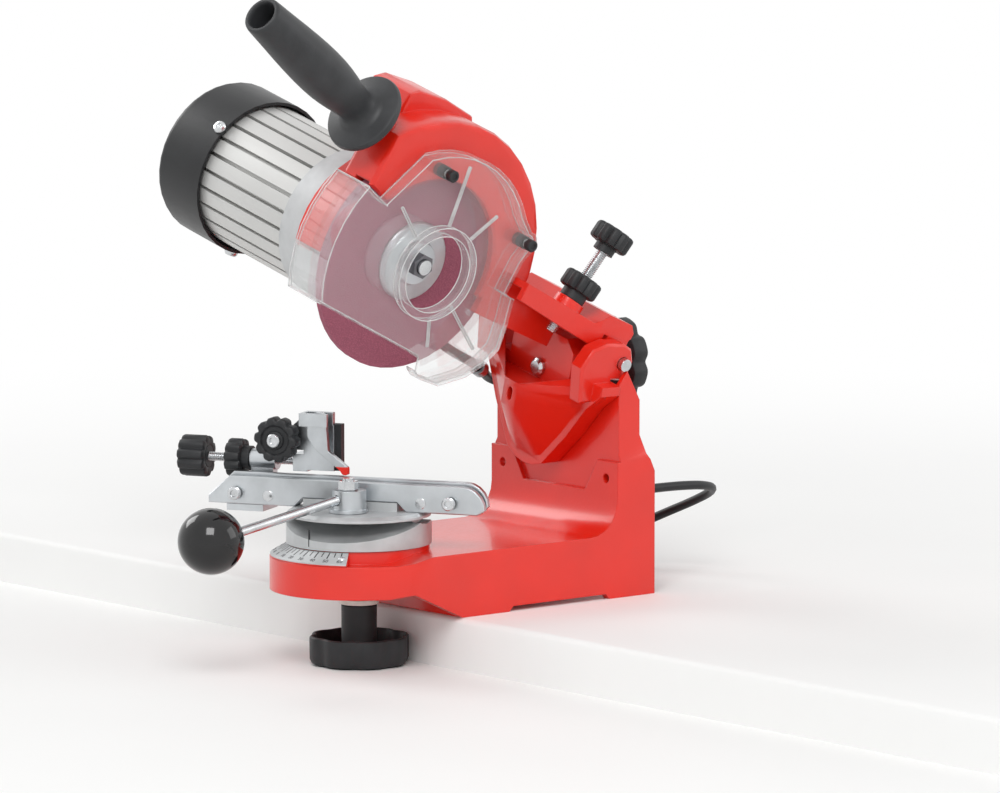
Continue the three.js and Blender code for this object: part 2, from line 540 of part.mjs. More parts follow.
// Cradle, rails and their fastenings
const railFront = -rail.slotHalf - rail.thickness;
const railBack = rail.slotHalf + rail.thickness;
const cradleDisc = revolve('z', [
  [0, cradle.bottom], [cradle.radius, cradle.bottom], [cradle.radius, cradle.edgeTop],
  [cradle.radius - cradle.chamfer, cradle.top], [0, cradle.top],
], largeSides);
const saddle = common(
  drum('x', cradle.saddleRadius, -cradle.saddleHalf, cradle.saddleHalf, wheelSides).translate(0, 0, vise.tiltAxis),
  box(-cradle.radius, cradle.radius, -cradle.radius, cradle.radius, turntable.bottom, cradle.edgeTop),
);
const railSeat = box(
  cradle.seatLeft, cradle.seatRight, cradle.seatFront, cradle.seatBack, cradle.edgeTop, cradle.seatTop,
);
piece(viseFrame, 'vise_cradle', bareAluminium, cut(
  join(cradleDisc, saddle, railSeat),
  drum('z', clamp.postRadius + gap, turntable.bottom, cradle.seatTop).translate(0, clamp.side, 0),
));

function railOutline(top) {
  const r = rail;
  return [
    [r.left, r.bottom], [cradle.seatLeft - r.archSlope, r.bottom], [cradle.seatLeft, r.archTop],
    [cradle.seatRight, r.archTop], [cradle.seatRight + r.archSlope, r.bottom], [r.right - r.rightFoot, r.bottom],
    ...arc(r.rightRadius, 0, 90, [r.right - r.rightRadius, top - r.rightRadius], 18),
    [r.left + r.leftSlope, top], [r.left, r.bottom + r.leftStep],
  ];
}

function railHoles(places, height, radius) {
  return places.map((x) => drum('y', radius, railFront - overrun, railBack + overrun, smallSides)
    .translate(x, 0, height));
}
const screwCuts = railHoles(rail.screws, rail.screwHeight, rail.screwRadius + gap);
const dowelCuts = railHoles(rail.dowels, rail.dowelHeight, rail.dowelRadius + gap);
const dowels = rail.dowels.map((x) => drum('y', rail.dowelRadius, railFront + rail.thickness / 2, railBack - gap,
  smallSides).translate(x, 0, rail.dowelHeight));
piece(viseFrame, 'front_rail', zinc, join(
  cut(slab('y', railOutline(rail.frontTop), railFront, -rail.slotHalf, rail.edge), ...screwCuts), ...dowels));
piece(viseFrame, 'rear_rail', zinc, cut(
  slab('y', railOutline(rail.rearTop), rail.slotHalf, railBack, rail.edge), ...screwCuts, ...dowelCuts));
rail.screws.forEach((x, i) => {
  const headBack = railFront - gap - rail.travel;
  piece(viseFrame, `rail_screw_${i + 1}`, steel, revolve('y', [
    [0, headBack - rail.headHeight], [rail.headRadius * 0.6, headBack - rail.headHeight],
    [rail.headRadius, headBack - rail.headHeight / 2], [rail.headRadius, headBack], [rail.screwRadius, headBack],
    [rail.screwRadius, railBack - gap], [0, railBack - gap],
  ], smallSides).translate(x, 0, rail.screwHeight));
});

// Cam clamp: hub on a post, lever and ball
const leverLine = new THREE.Vector3(clamp.ballX, clamp.ballY - clamp.side, clamp.ballZ - clamp.rodHeight);
const leverLength = leverLine.length();
const leverTurn = new THREE.Quaternion().setFromUnitVectors(axisZ, leverLine.clone().normalize());
const leverPlace = new THREE.Matrix4().compose(
  new THREE.Vector3(0, clamp.side, clamp.rodHeight), leverTurn, new THREE.Vector3(1, 1, 1));
const leverRod = (radius, from, to) => drum('z', radius, from, to, smallSides).applyMatrix4(leverPlace);
piece(viseFrame, 'clamp_post', steel, join(
  drum('z', clamp.postRadius, clamp.postBottom, clamp.postTop, smallSides).translate(0, clamp.side, 0),
  hexagon('z', clamp.nutRadius, clamp.camTop + gap, clamp.camTop + gap + clamp.nutHeight).translate(0, clamp.side, 0),
));
piece(viseFrame, 'clamp_hub', zinc, cut(
  join(
    drum('z', clamp.flangeRadius, clamp.flangeBottom, clamp.camBottom).translate(0, clamp.side, 0),
    drum('z', clamp.camRadius, clamp.camBottom, clamp.camTop).translate(0, clamp.side + clamp.camOffset, 0),
  ),
  drum('z', clamp.postRadius + gap, clamp.flangeBottom - overrun, clamp.camTop + overrun, smallSides)
    .translate(0, clamp.side, 0),
  leverRod(clamp.rodRadius + gap, clamp.rodStart - gap, clamp.camRadius + overrun),
));
piece(viseFrame, 'clamp_lever_rod', steel, leverRod(clamp.rodRadius, clamp.rodStart, leverLength - clamp.rodEnd));
const ball = new THREE.SphereGeometry(clamp.ballRadius, mediumSides, smallSides)
  .translate(clamp.ballX, clamp.ballY, clamp.ballZ);
piece(viseFrame, 'clamp_ball_knob', glossBlack, cut(
  ball, leverRod(clamp.rodRadius + gap, leverLength - clamp.ballRadius - overrun, leverLength - clamp.rodEnd + gap),
));

// Chain stop: carrier with barrel, screw, knob and lock wheel
const stopAxis = (geometry) => geometry.translate(0, stop.axisY, stop.axisZ);
piece(viseFrame, 'stop_carrier', zinc, cut(
  join(
    box(stop.carrierLeft, stop.carrierRight, stop.carrierFront, stop.carrierBack, stop.carrierBottom, rail.bottom - gap),
    box(stop.uprightLeft, stop.carrierRight, stop.uprightFront, stop.carrierBack, stop.carrierBottom, stop.uprightTop),
    stopAxis(drum('x', stop.barrelRadius, stop.barrelFrom, stop.barrelTo)),
  ),
  stopAxis(drum('x', stop.screwRadius + gap, stop.carrierLeft - overrun, stop.barrelTo + overrun, smallSides)),
));
piece(viseFrame, 'stop_screw', steel, stopAxis(
  drum('x', stop.screwRadius, stop.screwStart, stop.screwEnd, smallSides)));
piece(viseFrame, 'stop_screw_knob', blackPlastic, cut(
  stopAxis(lobed('x', stop.knobRadius, 1.6, 10, stop.knobFrom, stop.knobTo, 1.5)),
  stopAxis(drum('x', stop.screwRadius + gap, stop.screwStart - gap, stop.knobTo + overrun, smallSides)),
));
piece(viseFrame, 'stop_lock_wheel', blackPlastic, cut(
  join(
    stopAxis(lobed('x', stop.lockRadius, 1.6, 10, stop.lockFrom, stop.lockTo, 1.2)),
    stopAxis(drum('x', stop.lockHubRadius, stop.lockTo - stop.pawlHalf, stop.lockHubTo)),
  ),
  stopAxis(drum('x', stop.screwRadius + gap, stop.lockFrom - overrun, stop.lockHubTo + overrun, smallSides)),
));

// Chain stop: sliding bracket with its nut, block, clamp knob and pawl
const plateOutlineShares = [
  [1, 0], [0.52, 0], [0.52, 0.335], [0, 0.335], [0, 0.7], [0.3, 0.7], [0.6, 1], [1, 1],
];
const plateLeft = stop.clampX - stop.clampHubRadius - overrun / 2;
const plateRight = stop.hingeX + stop.springSpace + overrun / 4;
const plateBottom = rail.rearTop + 2;
const plateTop = stop.lugTop;
const stopPlate = slab('y', plateOutlineShares.map(([u, v]) => [
  plateLeft + u * (plateRight - plateLeft), plateBottom + v * (plateTop - plateBottom),
]), stop.plateFront, stop.plateBack);
const nutBlock = box(
  stop.nutLeft, stop.nutRight, stop.plateFront, stop.nutBack, stop.axisZ - stop.nutHalf, stop.axisZ + stop.nutHalf,
);
const lugBox = box(
  stop.hingeX - stop.lugLeft, plateRight, stop.lugFront, stop.plateBack, stop.hingeZ - stop.springSpace, plateTop,
);
const lugSlot = box(
  stop.hingeX - stop.lugLeft + stop.bridge, plateRight + overrun, -stop.lugInner, stop.springSpace,
  stop.hingeZ - stop.springSpace - overrun, plateTop + overrun,
);
const pawlPin = drum('y', stop.pinRadius, stop.lugFront, stop.plateBack, smallSides)
  .translate(stop.hingeX, 0, stop.hingeZ);
piece(viseFrame, 'stop_bracket', zinc, cut(
  join(cut(join(stopPlate, nutBlock, lugBox), lugSlot), pawlPin),
  stopAxis(drum('x', stop.screwRadius + gap, stop.nutLeft - overrun, stop.nutRight + overrun, smallSides)),
  drum('y', stop.clampScrewRadius + gap, stop.plateFront - overrun, stop.plateBack + overrun, smallSides)
    .translate(stop.clampX, 0, stop.clampZ),
));
piece(viseFrame, 'stop_block', blackPlastic, box(
  stop.blockLeft, stop.blockRight, stop.plateBack + gap, stop.blockBack, stop.blockBottom, stop.blockTop,
));
const pawlDrop = stop.hingeZ - stop.pawlTip;
const pawlOutlineShares = [
  [-0.06, 0.08], [-0.22, -0.14], [-0.19, -0.37], [-0.02, -0.6], [0.06, -0.83], [0.41, -0.92], [0.46, -1],
  [0.55, -1], [0.55, -0.83], [0.21, -0.74], [0.16, -0.3], [0.1, 0.07],
];
piece(viseFrame, 'stop_pawl', zinc, cut(
  slab('y', pawlOutlineShares.map(([u, v]) => [
    stop.hingeX + u * pawlDrop, stop.hingeZ + v * pawlDrop,
  ]), -stop.pawlHalf, stop.pawlHalf),
  drum('y', stop.pinRadius + gap, -overrun, overrun, smallSides).translate(stop.hingeX, 0, stop.hingeZ),
));
const pawlSpringPitch = (stop.springSpace - stop.pawlHalf - 4 * stop.wireRadius) / stop.springTurns;
piece(viseFrame, 'pawl_spring', steel, wire(helix(
  'y', new THREE.Vector3(stop.hingeX, 0, stop.hingeZ), stop.pinRadius + gap + stop.wireRadius + gap,
  stop.pawlHalf + 2 * stop.wireRadius, pawlSpringPitch, stop.springTurns, 0,
), stop.wireRadius, 5));
const clampPlace = (geometry) => geometry.translate(stop.clampX, 0, stop.clampZ);
piece(viseFrame, 'stop_clamp_knob', blackPlastic, join(
  cut(
    clampPlace(lobed('y', stop.clampRadius, 1.8, 10, stop.clampFront, stop.clampBack, 1.5)),
    clampPlace(sleeve('y', stop.clampRadius * 0.68, stop.clampRadius * 0.42, stop.clampFront - overrun,
      stop.clampFront + stop.pawlHalf)),
  ),
  clampPlace(drum('y', stop.clampHubRadius, stop.clampBack - stop.pawlHalf, stop.plateFront - gap)),
  clampPlace(drum('y', stop.clampScrewRadius, stop.clampBack, stop.clampScrewBack, smallSides)),
));

// Tilting bracket: nose, gusset, shield plate and hinge ears
const shieldShares = [
  [1, 0.03], [0.805, -0.164], [0.58, -0.527], [0.28, -0.92], [0.13, -0.985],
];
const shieldSide = shieldShares.map(([u, v]) => [u * bracket.half, -v * bracket.vertex]);
const shield = [
  ...mirrored([[bracket.half, bracket.top], ...shieldSide, [0, bracket.vertex]]).filter(
    ([u, v], i, all) => i === 0 || u !== all[i - 1][0] || v !== all[i - 1][1]),
  [-bracket.earInner, bracket.top], [-bracket.earInner, bracket.webTop],
  [-bracket.uprightHalf, bracket.webTop], [-bracket.uprightHalf, bracket.uprightTop - bracket.top],
  [-bracket.uprightHalf + bracket.top, bracket.uprightTop], [bracket.uprightHalf - bracket.top, bracket.uprightTop],
  [bracket.uprightHalf, bracket.uprightTop - bracket.top], [bracket.uprightHalf, bracket.webTop],
  [bracket.earInner, bracket.webTop], [bracket.earInner, bracket.top],
];
const noseCorners = [-1, 1].flatMap((s) => [
  [bracket.noseX, s * bracket.noseHalf, bracket.noseTop], [bracket.noseX, s * bracket.noseHalf, bracket.noseBottom],
]);
const gussetBack = bracket.plateFront + overrun;
const gusset = hull([
  ...noseCorners,
  ...shieldSide.slice(1).flatMap(([u, v]) => [[gussetBack, u, v], [gussetBack, -u, v]]),
  [gussetBack, bracket.earInner, bracket.noseTop], [gussetBack, -bracket.earInner, bracket.noseTop],
]);
const wings = [-1, 1].map((s) => hull([
  [bracket.noseX, s * bracket.noseHalf, bracket.noseTop], [bracket.noseX, s * bracket.noseHalf, bracket.slotTop],
  [gussetBack, s * bracket.earInner, bracket.noseTop], [gussetBack, s * bracket.earInner, bracket.top],
  [gussetBack, s * bracket.half, bracket.top], [gussetBack, s * bracket.half, bracket.webTop],
  [gussetBack, s * shieldSide[1][0], shieldSide[1][1]],
]));
const earShares = [
  [-0.61, -0.5], [-0.68, -0.02], [-0.52, 0.22], [-0.285, 0.29], [0, 0.26], [0.13, 0.18], [0.19, 0],
  [0.13, -0.18], [0, -0.24], [-0.13, -0.22], [-0.13, -0.5],
];
const ears = [-1, 1].map((s) => {
  const outline = earShares.map(([u, v]) => [hinge.x + u * bracket.earSize, hinge.z + v * bracket.earSize]);
  const sides = [s * bracket.earInner, s * bracket.earOuter].sort((a, b) => a - b);
  return slab('y', outline, sides[0], sides[1], 1.5);
});
const noseSlot = slab('x', [
  ...arc(bracket.slotHalf, 180, 360, [0, bracket.slotBottom + bracket.slotHalf], 45),
  ...arc(bracket.slotHalf, 0, 180, [0, bracket.slotTop - bracket.slotHalf], 45),
], bracket.noseX - overrun, bracket.noseX + bracket.slotDepth);
piece(bracketFrame, 'tilt_bracket', redPaint, cut(
  join(slab('x', shield, bracket.plateFront, bracket.plateBack), gusset, ...wings, ...ears),
  noseSlot,
  drum('x', tiltBolt.radius + gap, bracket.noseX, bracket.plateBack + overrun),
  drum('x', tiltBolt.headRadius + 2 * gap, bracket.noseX + overrun, bracket.plateFront, mediumSides),
  box(bracket.pocketFront, bracket.plateBack + overrun, bracket.pocketInner, bracket.uprightHalf + gap,
    bracket.pocketBottom, bracket.uprightTop + overrun),
  drum('y', hinge.pinRadius + gap, -hinge.pinHalf, hinge.pinHalf).translate(hinge.x, 0, hinge.z),
));

// Tilt bolt, washer and rear knob; hinge pin and return spring
const knobStart = tiltBolt.bossEnd + gap;
const knobDiscStart = knobStart + tiltBolt.knobHub;
piece(bracketFrame, 'tilt_bolt', steel, revolve('x', [
  [0, tiltBolt.headFront], [tiltBolt.headRadius * 0.7, tiltBolt.headFront],
  [tiltBolt.headRadius, tiltBolt.headFront + 1.6], [tiltBolt.headRadius, bracket.plateFront - gap],
  [tiltBolt.radius, bracket.plateFront - gap], [tiltBolt.radius, tiltBolt.end], [0, tiltBolt.end],
]));
piece(bracketFrame, 'tilt_lock_knob', blackPlastic, cut(
  join(
    drum('x', tiltBolt.washerRadius, knobStart, knobStart + 2 * tiltBolt.washerThickness),
    drum('x', tiltBolt.knobHubRadius, knobStart + tiltBolt.washerThickness, knobDiscStart + overrun),
    lobed('x', tiltBolt.knobRadius, 3, 8, knobDiscStart, knobDiscStart + tiltBolt.knobThickness, 2),
  ),
  drum('x', tiltBolt.radius + gap, knobStart - overrun, tiltBolt.end + gap, smallSides),
));
piece(bracketFrame, 'hinge_pin', steel, drum('y', hinge.pinRadius, -hinge.pinHalf, hinge.pinHalf)
  .translate(hinge.x, 0, hinge.z));
const coilPoints = helix('y', new THREE.Vector3(hinge.x, 0, hinge.z), returnSpring.coilRadius, returnSpring.from,
  returnSpring.pitch, returnSpring.turns, 0);
const legEnd = coilPoints[0].clone().add(new THREE.Vector3(-returnSpring.leg, 0, 0));
piece(bracketFrame, 'return_spring', steel, wire([legEnd, ...coilPoints], returnSpring.wireRadius, 5));

// Head casting: wheel housing, switch box, collar, arm and hinge knuckles
const shroudOutline = (inset, low) => [
  [housing.leftX + inset, low],
  ...arc(housing.radius - inset, 180 - Math.acos(-housing.leftX / housing.radius) / degree - inset / 2,
    housing.rightAngle - inset / 2),
  [housing.rightX - inset, housing.lowerZ - (inset ? housing.radius : 0)],
];

function armSolid() {
  const a = {
    ...arm,
    start: housing.radius - arm.startInset,
    nearStart: housing.radius - arm.nearInset,
    flare: armLength - arm.flareToHinge,
    webEnd: armLength - arm.webToHinge,
    lipEnd: armLength - arm.lipToHinge,
    rearFrom: armLength - arm.rearToHinge,
    rearTo: armLength + arm.rearOverHinge,
  };
  const top = (x) => a.plateTopStart + ((a.plateTopEnd - a.plateTopStart) * (x - a.start)) / (a.rearFrom - a.start);
  const plan = [
    [a.start, a.webFrom], [a.nearStart, a.webFrom], [a.nearStart, a.nearSide], [a.flare, a.nearSide],
    [a.rearFrom, -a.rearHalf], [a.rearTo, -a.rearHalf], [a.rearTo, a.rearHalf], [a.rearFrom, a.rearHalf],
    [a.flare, a.farSide], [a.start, a.farSide],
  ];
  const inner = [
    [a.start - overrun, a.nearSide + a.lip], [a.flare, a.nearSide + a.lip], [a.lipEnd, -a.rearHalf + a.lip],
    [a.lipEnd, a.rearHalf - a.lip], [a.flare, a.farSide - a.lip], [a.start - overrun, a.farSide - a.lip],
  ];
  const sideBand = slab('y', [
    [a.start, top(a.start)], [a.start, top(a.start) - a.lipDepthStart], [a.lipEnd, top(a.lipEnd) - a.lipDepthEnd],
    [a.lipEnd, top(a.lipEnd)],
  ], -a.rearHalf, a.rearHalf);
  const underside = slab('y', [
    [a.start - overrun, -a.rearTo], [a.start - overrun, top(a.start) - a.thickness],
    [a.lipEnd + overrun, top(a.lipEnd) - a.thickness], [a.lipEnd + overrun, -a.rearTo],
  ], -a.rearHalf, a.rearHalf);
  const planBlock = slab('z', plan, -armLength, armLength);
  const channel = cut(common(sideBand, planBlock), common(slab('z', inner, -armLength, armLength), underside));
  const web = slab('y', [
    [a.start, top(a.start) - 1], [a.start, a.webBottom], [a.webEnd, a.webBottom], [a.webEnd, top(a.webEnd) - 1],
  ], a.webFrom, a.webTo);
  const rear = common(slab('y', [
    [a.rearFrom, a.rearBottom], [a.rearTo - a.lip, a.rearBottom], [a.rearTo, a.rearBottom + a.lip],
    [a.rearTo, a.rearTop - a.lip], [a.rearTo - a.lip, a.rearTop], [a.rearFrom + a.lip, a.rearTop],
    [a.rearFrom - a.lip, top(a.rearFrom)],
  ], -a.rearHalf, a.rearHalf), planBlock);
  const knuckles = [-1, 1].map((s) => {
    const sides = [s * a.knuckleInner, s * a.rearHalf].sort((p, q) => p - q);
    return join(
      drum('y', a.knuckleRadius, sides[0], sides[1]).translate(armLength, 0, 0),
      box(armLength - a.knuckleRadius, armLength + a.knuckleRadius * 0.8, sides[0], sides[1], 0, a.rearBottom + a.lip),
    );
  });
  return join(channel, web, rear, ...knuckles);
}

const depthPlace = new THREE.Matrix4().makeTranslation(armLength - depth.toHinge, depth.side, depth.lowerZ)
  .multiply(new THREE.Matrix4().makeRotationY(depth.lean * degree));
const onDepthAxis = (geometry) => geometry.applyMatrix4(depthPlace);

const handleReach = housing.radius + handle.standOff;
const handleTurn = new THREE.Matrix4().makeTranslation(
  handleReach * Math.cos(handle.angle * degree), handle.y, handleReach * Math.sin(handle.angle * degree),
)
  .multiply(new THREE.Matrix4().makeRotationY(-(90 - handle.lean) * degree));
const onHandleAxis = (geometry) => geometry.applyMatrix4(handleTurn);

function ringPlace(geometry, [x, z]) {
  return geometry.translate(x, 0, z);
}

function headCasting() {
  const h = housing;
  const s = switchBox;
  const shroud = slab('y', shroudOutline(0, h.leftBottom), h.front, h.back, h.edge, 2);
  const backDisc = drum('y', motor.bellRadius, h.back - h.wall, h.back, largeSides);
  const cavity = slab('y', shroudOutline(h.wall, -h.radius), h.front + h.wall, h.back - h.wall);
  const mouth = drum('y', h.mouthRadius, h.front - overrun, h.front + h.wall + overrun / 2, largeSides);
  const collar = slab('y', ringSector(h.collarInner, h.collarOuter, h.collarFrom, h.collarTo), h.back - h.wall, h.collarEnd);
  const boxOutline = [
    [s.left, s.bottom], [s.left, s.top - s.corner], [s.left + s.corner, s.top - s.corner / 3],
    [(s.left + s.right) / 2, s.top], [s.right - s.corner / 2, s.top - s.corner / 3], [s.right, s.top - s.corner],
    [s.right, s.bottom],
  ];
  const lobe = slab('y', boxOutline, s.front, s.back, s.edge, 2);
  const pocket = box(s.pocketLeft, s.pocketRight, s.back - s.pocketDepth, s.back + overrun, s.pocketBottom, s.pocketTop);
  const handleBoss = onHandleAxis(drum('z', handle.bossRadius, -handle.bossLength, -gap));
  const depthBoss = onDepthAxis(drum('z', depth.bossRadius, depth.bossFrom, depth.bossTo));
  const casting = join(cut(shroud, cavity, mouth), backDisc, collar, cut(lobe, cavity), handleBoss, armSolid(), depthBoss);
  const screwHoles = guard.bosses.map((place) => ringPlace(
    drum('y', guard.screwRadius + gap, h.front - overrun, h.front + h.wall + overrun, smallSides), place));
  return cut(
    casting, pocket, ...screwHoles,
    drum('y', wheel.radius + h.wheelSpace, -h.wheelSpaceHalf, h.wheelSpaceHalf, wheelSides),
    drum('y', spindle.bearingRadius + gap, 0, h.back + overrun),
    drum('y', hinge.pinRadius + gap, -hinge.pinHalf, hinge.pinHalf).translate(armLength, 0, 0),
    onDepthAxis(drum('z', depth.screwRadius + gap, -overrun, depth.bossTo + overrun)),
  );
}
piece(wheelFrame, 'head_casting', redPaint, headCasting());

// Switch on the rear of the box
const s = switchBox;
piece(wheelFrame, 'switch_frame', blackPlastic, cut(
  box(s.pocketLeft + gap, s.pocketRight - gap, s.back - s.pocketDepth + gap, s.back + s.rockerRise / 2,
    s.pocketBottom + gap, s.pocketTop - gap),
  box(s.pocketLeft + s.frameWall, s.pocketRight - s.frameWall, s.back - s.pocketDepth + s.frameWall,
    s.back + overrun, s.pocketBottom + s.frameWall, s.pocketTop - s.frameWall),
));
const rockerX = (s.pocketLeft + s.pocketRight) / 2;
const rockerZ = (s.pocketBottom + s.pocketTop) / 2;
const rockerHalfZ = (s.pocketTop - s.pocketBottom) / 2 - s.frameWall - 2 * gap;
const rockerBack = s.back - s.pocketDepth + s.frameWall + s.rockerRise;
piece(wheelFrame, 'switch_rocker', glossBlack, slab('x', [
  [rockerBack, -rockerHalfZ * 0.7], [s.back - gap, -rockerHalfZ], [s.back + s.rockerRise, -rockerHalfZ],
  [s.back + s.rockerRise / 3, 0], [s.back + s.rockerRise, rockerHalfZ], [s.back - gap, rockerHalfZ],
  [rockerBack, rockerHalfZ * 0.7],
], rockerX - s.rockerHalf, rockerX + s.rockerHalf).translate(0, 0, rockerZ));

// Motor: end bell, finned stator, fan cover, shaft, bearings and fan
const gland = drum('x', motor.glandRadius, motor.bellRadius - motor.bellWall / 2,
  motor.bellRadius + motor.glandLength, smallSides);
piece(wheelFrame, 'motor_end_bell', bareAluminium, join(cut(
  drum('y', motor.bellRadius, motor.bellFrom, motor.bellEnd, largeSides),
  drum('y', motor.bellRadius - motor.bellWall, motor.bellFrom + motor.bellWall, motor.bellEnd + overrun, mediumSides),
  drum('y', spindle.bearingRadius + 2, motor.bellFrom - overrun, motor.bellFrom + motor.bellWall + overrun),
), gland.rotateY(-motor.glandAngle * degree).translate(0, motor.glandY, 0)));

function finnedOutline() {
  const groove = 360 / motor.fins;
  return Array.from({ length: motor.fins }, (_, i) => {
    const start = i * groove;
    const mouth = start + groove * (1 - motor.grooveShare);
    const root = motor.statorRadius - motor.grooveDepth;
    return [
      ...arc(motor.statorRadius, start, mouth, [0, 0], groove / 2), ...arc(root, mouth, start + groove, [0, 0], groove)
        .filter((_, k) => k !== 1),
    ];
  }).flat();
}
const coverScrews = motor.screwAngles.map((angle) => (geometry) => geometry.rotateY(-angle * degree)
  .translate(0, motor.screwY, 0));
piece(wheelFrame, 'stator_body', bareAluminium, cut(
  slab('y', finnedOutline(), motor.statorFrom, motor.statorTo),
  drum('y', motor.statorBore, motor.statorFrom - overrun, motor.statorTo - motor.rearWall),
  drum('y', spindle.bearingRadius + gap, motor.statorTo - motor.rearWall - overrun, motor.statorTo + overrun),
  ...coverScrews.map((place) => place(drum('x', motor.screwRadius + gap, motor.statorRadius - 2 * overrun,
    motor.coverRadius, smallSides))),
));
const coverInner = motor.coverRadius - motor.coverWall;
const vents = Array.from({ length: motor.ventCount }, (_, i) => box(
  motor.ventInner, motor.ventOuter, motor.coverTo - overrun, motor.coverTo + overrun, -motor.ventHalf, motor.ventHalf,
).rotateY((i * 2 * Math.PI) / motor.ventCount));
const coverShell = cut(revolve('y', [
  [0, motor.coverTo - motor.coverWall], [coverInner - motor.coverRound / 2, motor.coverTo - motor.coverWall],
  [coverInner, motor.coverTo - motor.coverWall - motor.coverRound / 2], [coverInner, motor.coverFrom],
  [motor.coverRadius, motor.coverFrom], [motor.coverRadius, motor.coverTo - motor.coverRound],
  [motor.coverRadius - motor.coverRound * 0.3, motor.coverTo - motor.coverRound * 0.3],
  [motor.coverRadius - motor.coverRound, motor.coverTo], [0, motor.coverTo],
], largeSides), ...vents);
piece(wheelFrame, 'fan_cover', blackPlastic, join(coverShell, ...coverScrews.map((place) => place(revolve('x', [
  [0, motor.statorRadius - overrun], [motor.screwRadius, motor.statorRadius - overrun],
  [motor.screwRadius, coverInner + gap], [motor.screwHeadRadius, coverInner + gap],
  [motor.screwHeadRadius, motor.coverRadius + motor.screwHead / 2],
  [motor.screwRadius, motor.coverRadius + motor.screwHead], [0, motor.coverRadius + motor.screwHead],
], smallSides)))));
const rearBearingFrom = motor.statorTo - spindle.bearingWidth - gap;
const boreRadius = spindle.radius + gap;
const shoulder = wheel.halfThickness + gap + flange.thickness - gap;
piece(wheelFrame, 'motor_shaft', steel, revolve('y', [
  [0, spindle.front], [spindle.radius, spindle.front], [spindle.radius, shoulder + gap],
  [spindle.collarRadius, shoulder + gap], [spindle.collarRadius, spindle.collarEnd],
  [spindle.radius, spindle.collarEnd], [spindle.radius, spindle.rotorFrom],
  [spindle.rotorRadius, spindle.rotorFrom], [spindle.rotorRadius, spindle.rotorTo],
  [spindle.radius, spindle.rotorTo], [spindle.radius, spindle.rear], [0, spindle.rear],
]));
piece(wheelFrame, 'front_bearing', steel, sleeve('y', spindle.bearingRadius, boreRadius, spindle.collarEnd + gap,
  spindle.collarEnd + gap + spindle.bearingWidth));
piece(wheelFrame, 'rear_bearing', steel, sleeve('y', spindle.bearingRadius, boreRadius, rearBearingFrom,
  rearBearingFrom + spindle.bearingWidth));
const blades = Array.from({ length: motor.blades }, (_, i) => box(
  motor.fanHub - gap, motor.fanRadius, motor.fanFrom, motor.fanTo, -motor.bladeHalf, motor.bladeHalf,
).rotateY((i * 2 * Math.PI) / motor.blades));
piece(wheelFrame, 'cooling_fan', blackPlastic, cut(
  join(
    drum('y', motor.fanHub, motor.fanFrom - motor.fanDisc, motor.fanTo),
    drum('y', motor.fanRadius, motor.fanFrom - motor.fanDisc, motor.fanFrom, largeSides), ...blades,
  ),
  drum('y', boreRadius, motor.fanFrom - overrun, motor.fanTo + overrun),
));

// Grinding wheel between its flanges
piece(wheelFrame, 'grinding_wheel', abrasive,
  sleeve('y', wheel.radius, wheel.boreRadius, -wheel.halfThickness, wheel.halfThickness, wheelSides));
const flangeFace = wheel.halfThickness + gap;
const flangeEnd = flangeFace + flange.thickness;
piece(wheelFrame, 'flange_rear', zinc, revolve('y', [
  [boreRadius, -wheel.halfThickness + gap], [flange.spigotRadius, -wheel.halfThickness + gap],
  [flange.spigotRadius, flangeFace], [flange.radius, flangeFace], [flange.radius, flangeFace + flange.lip],
  [flange.hubRadius, shoulder], [boreRadius, shoulder],
], largeSides));
piece(wheelFrame, 'flange_front', zinc, revolve('y', [
  [boreRadius, -flangeEnd], [flange.hubRadius, -flangeEnd], [flange.hubRadius + 1, -flangeFace - flange.lip * 1.6],
  [flange.radius - 1, -flangeFace - flange.lip], [flange.radius, -flangeFace - flange.lip / 2],
  [flange.radius, -flangeFace], [boreRadius, -flangeFace],
], largeSides));
piece(wheelFrame, 'arbor_nut', darkSteel, cut(
  hexagon('y', flange.nutRadius, -flangeEnd - gap - flange.nutHeight, -flangeEnd - gap),
  drum('y', boreRadius, spindle.front - overrun, 0),
));

// Clear wheel guard with raised hub ring and ribs, on two spacers
const guardLeftNotch = [-0.61, 0.26];
const guardRightShares = [
  [0.69, 0.3], [0.69, 0.07], [0.77, 0.06], [0.82, -0.1], [0.855, -0.27], [0.8, -0.4], [0.7, -0.52],
  [0.51, -0.645], [0.34, -0.655], [0.29, -0.63], [0.25, -0.53],
];

function guardOutline(inset) {
  const size = guard.size - inset;
  const share = ([u, v]) => [u * size, v * size];
  return [
    ...arc(guard.skirtRadius - inset, guard.skirtTo, guard.skirtFrom, [0, 0], 9),
    share(guardLeftNotch),
    ...arc(guard.outerRadius - inset, 123, 46, [0, 0], 8.6),
    ...arc(guard.lobeRadius - inset, 100, -30, guard.bosses[1], 26),
    ...guardRightShares.map(share),
  ];
}

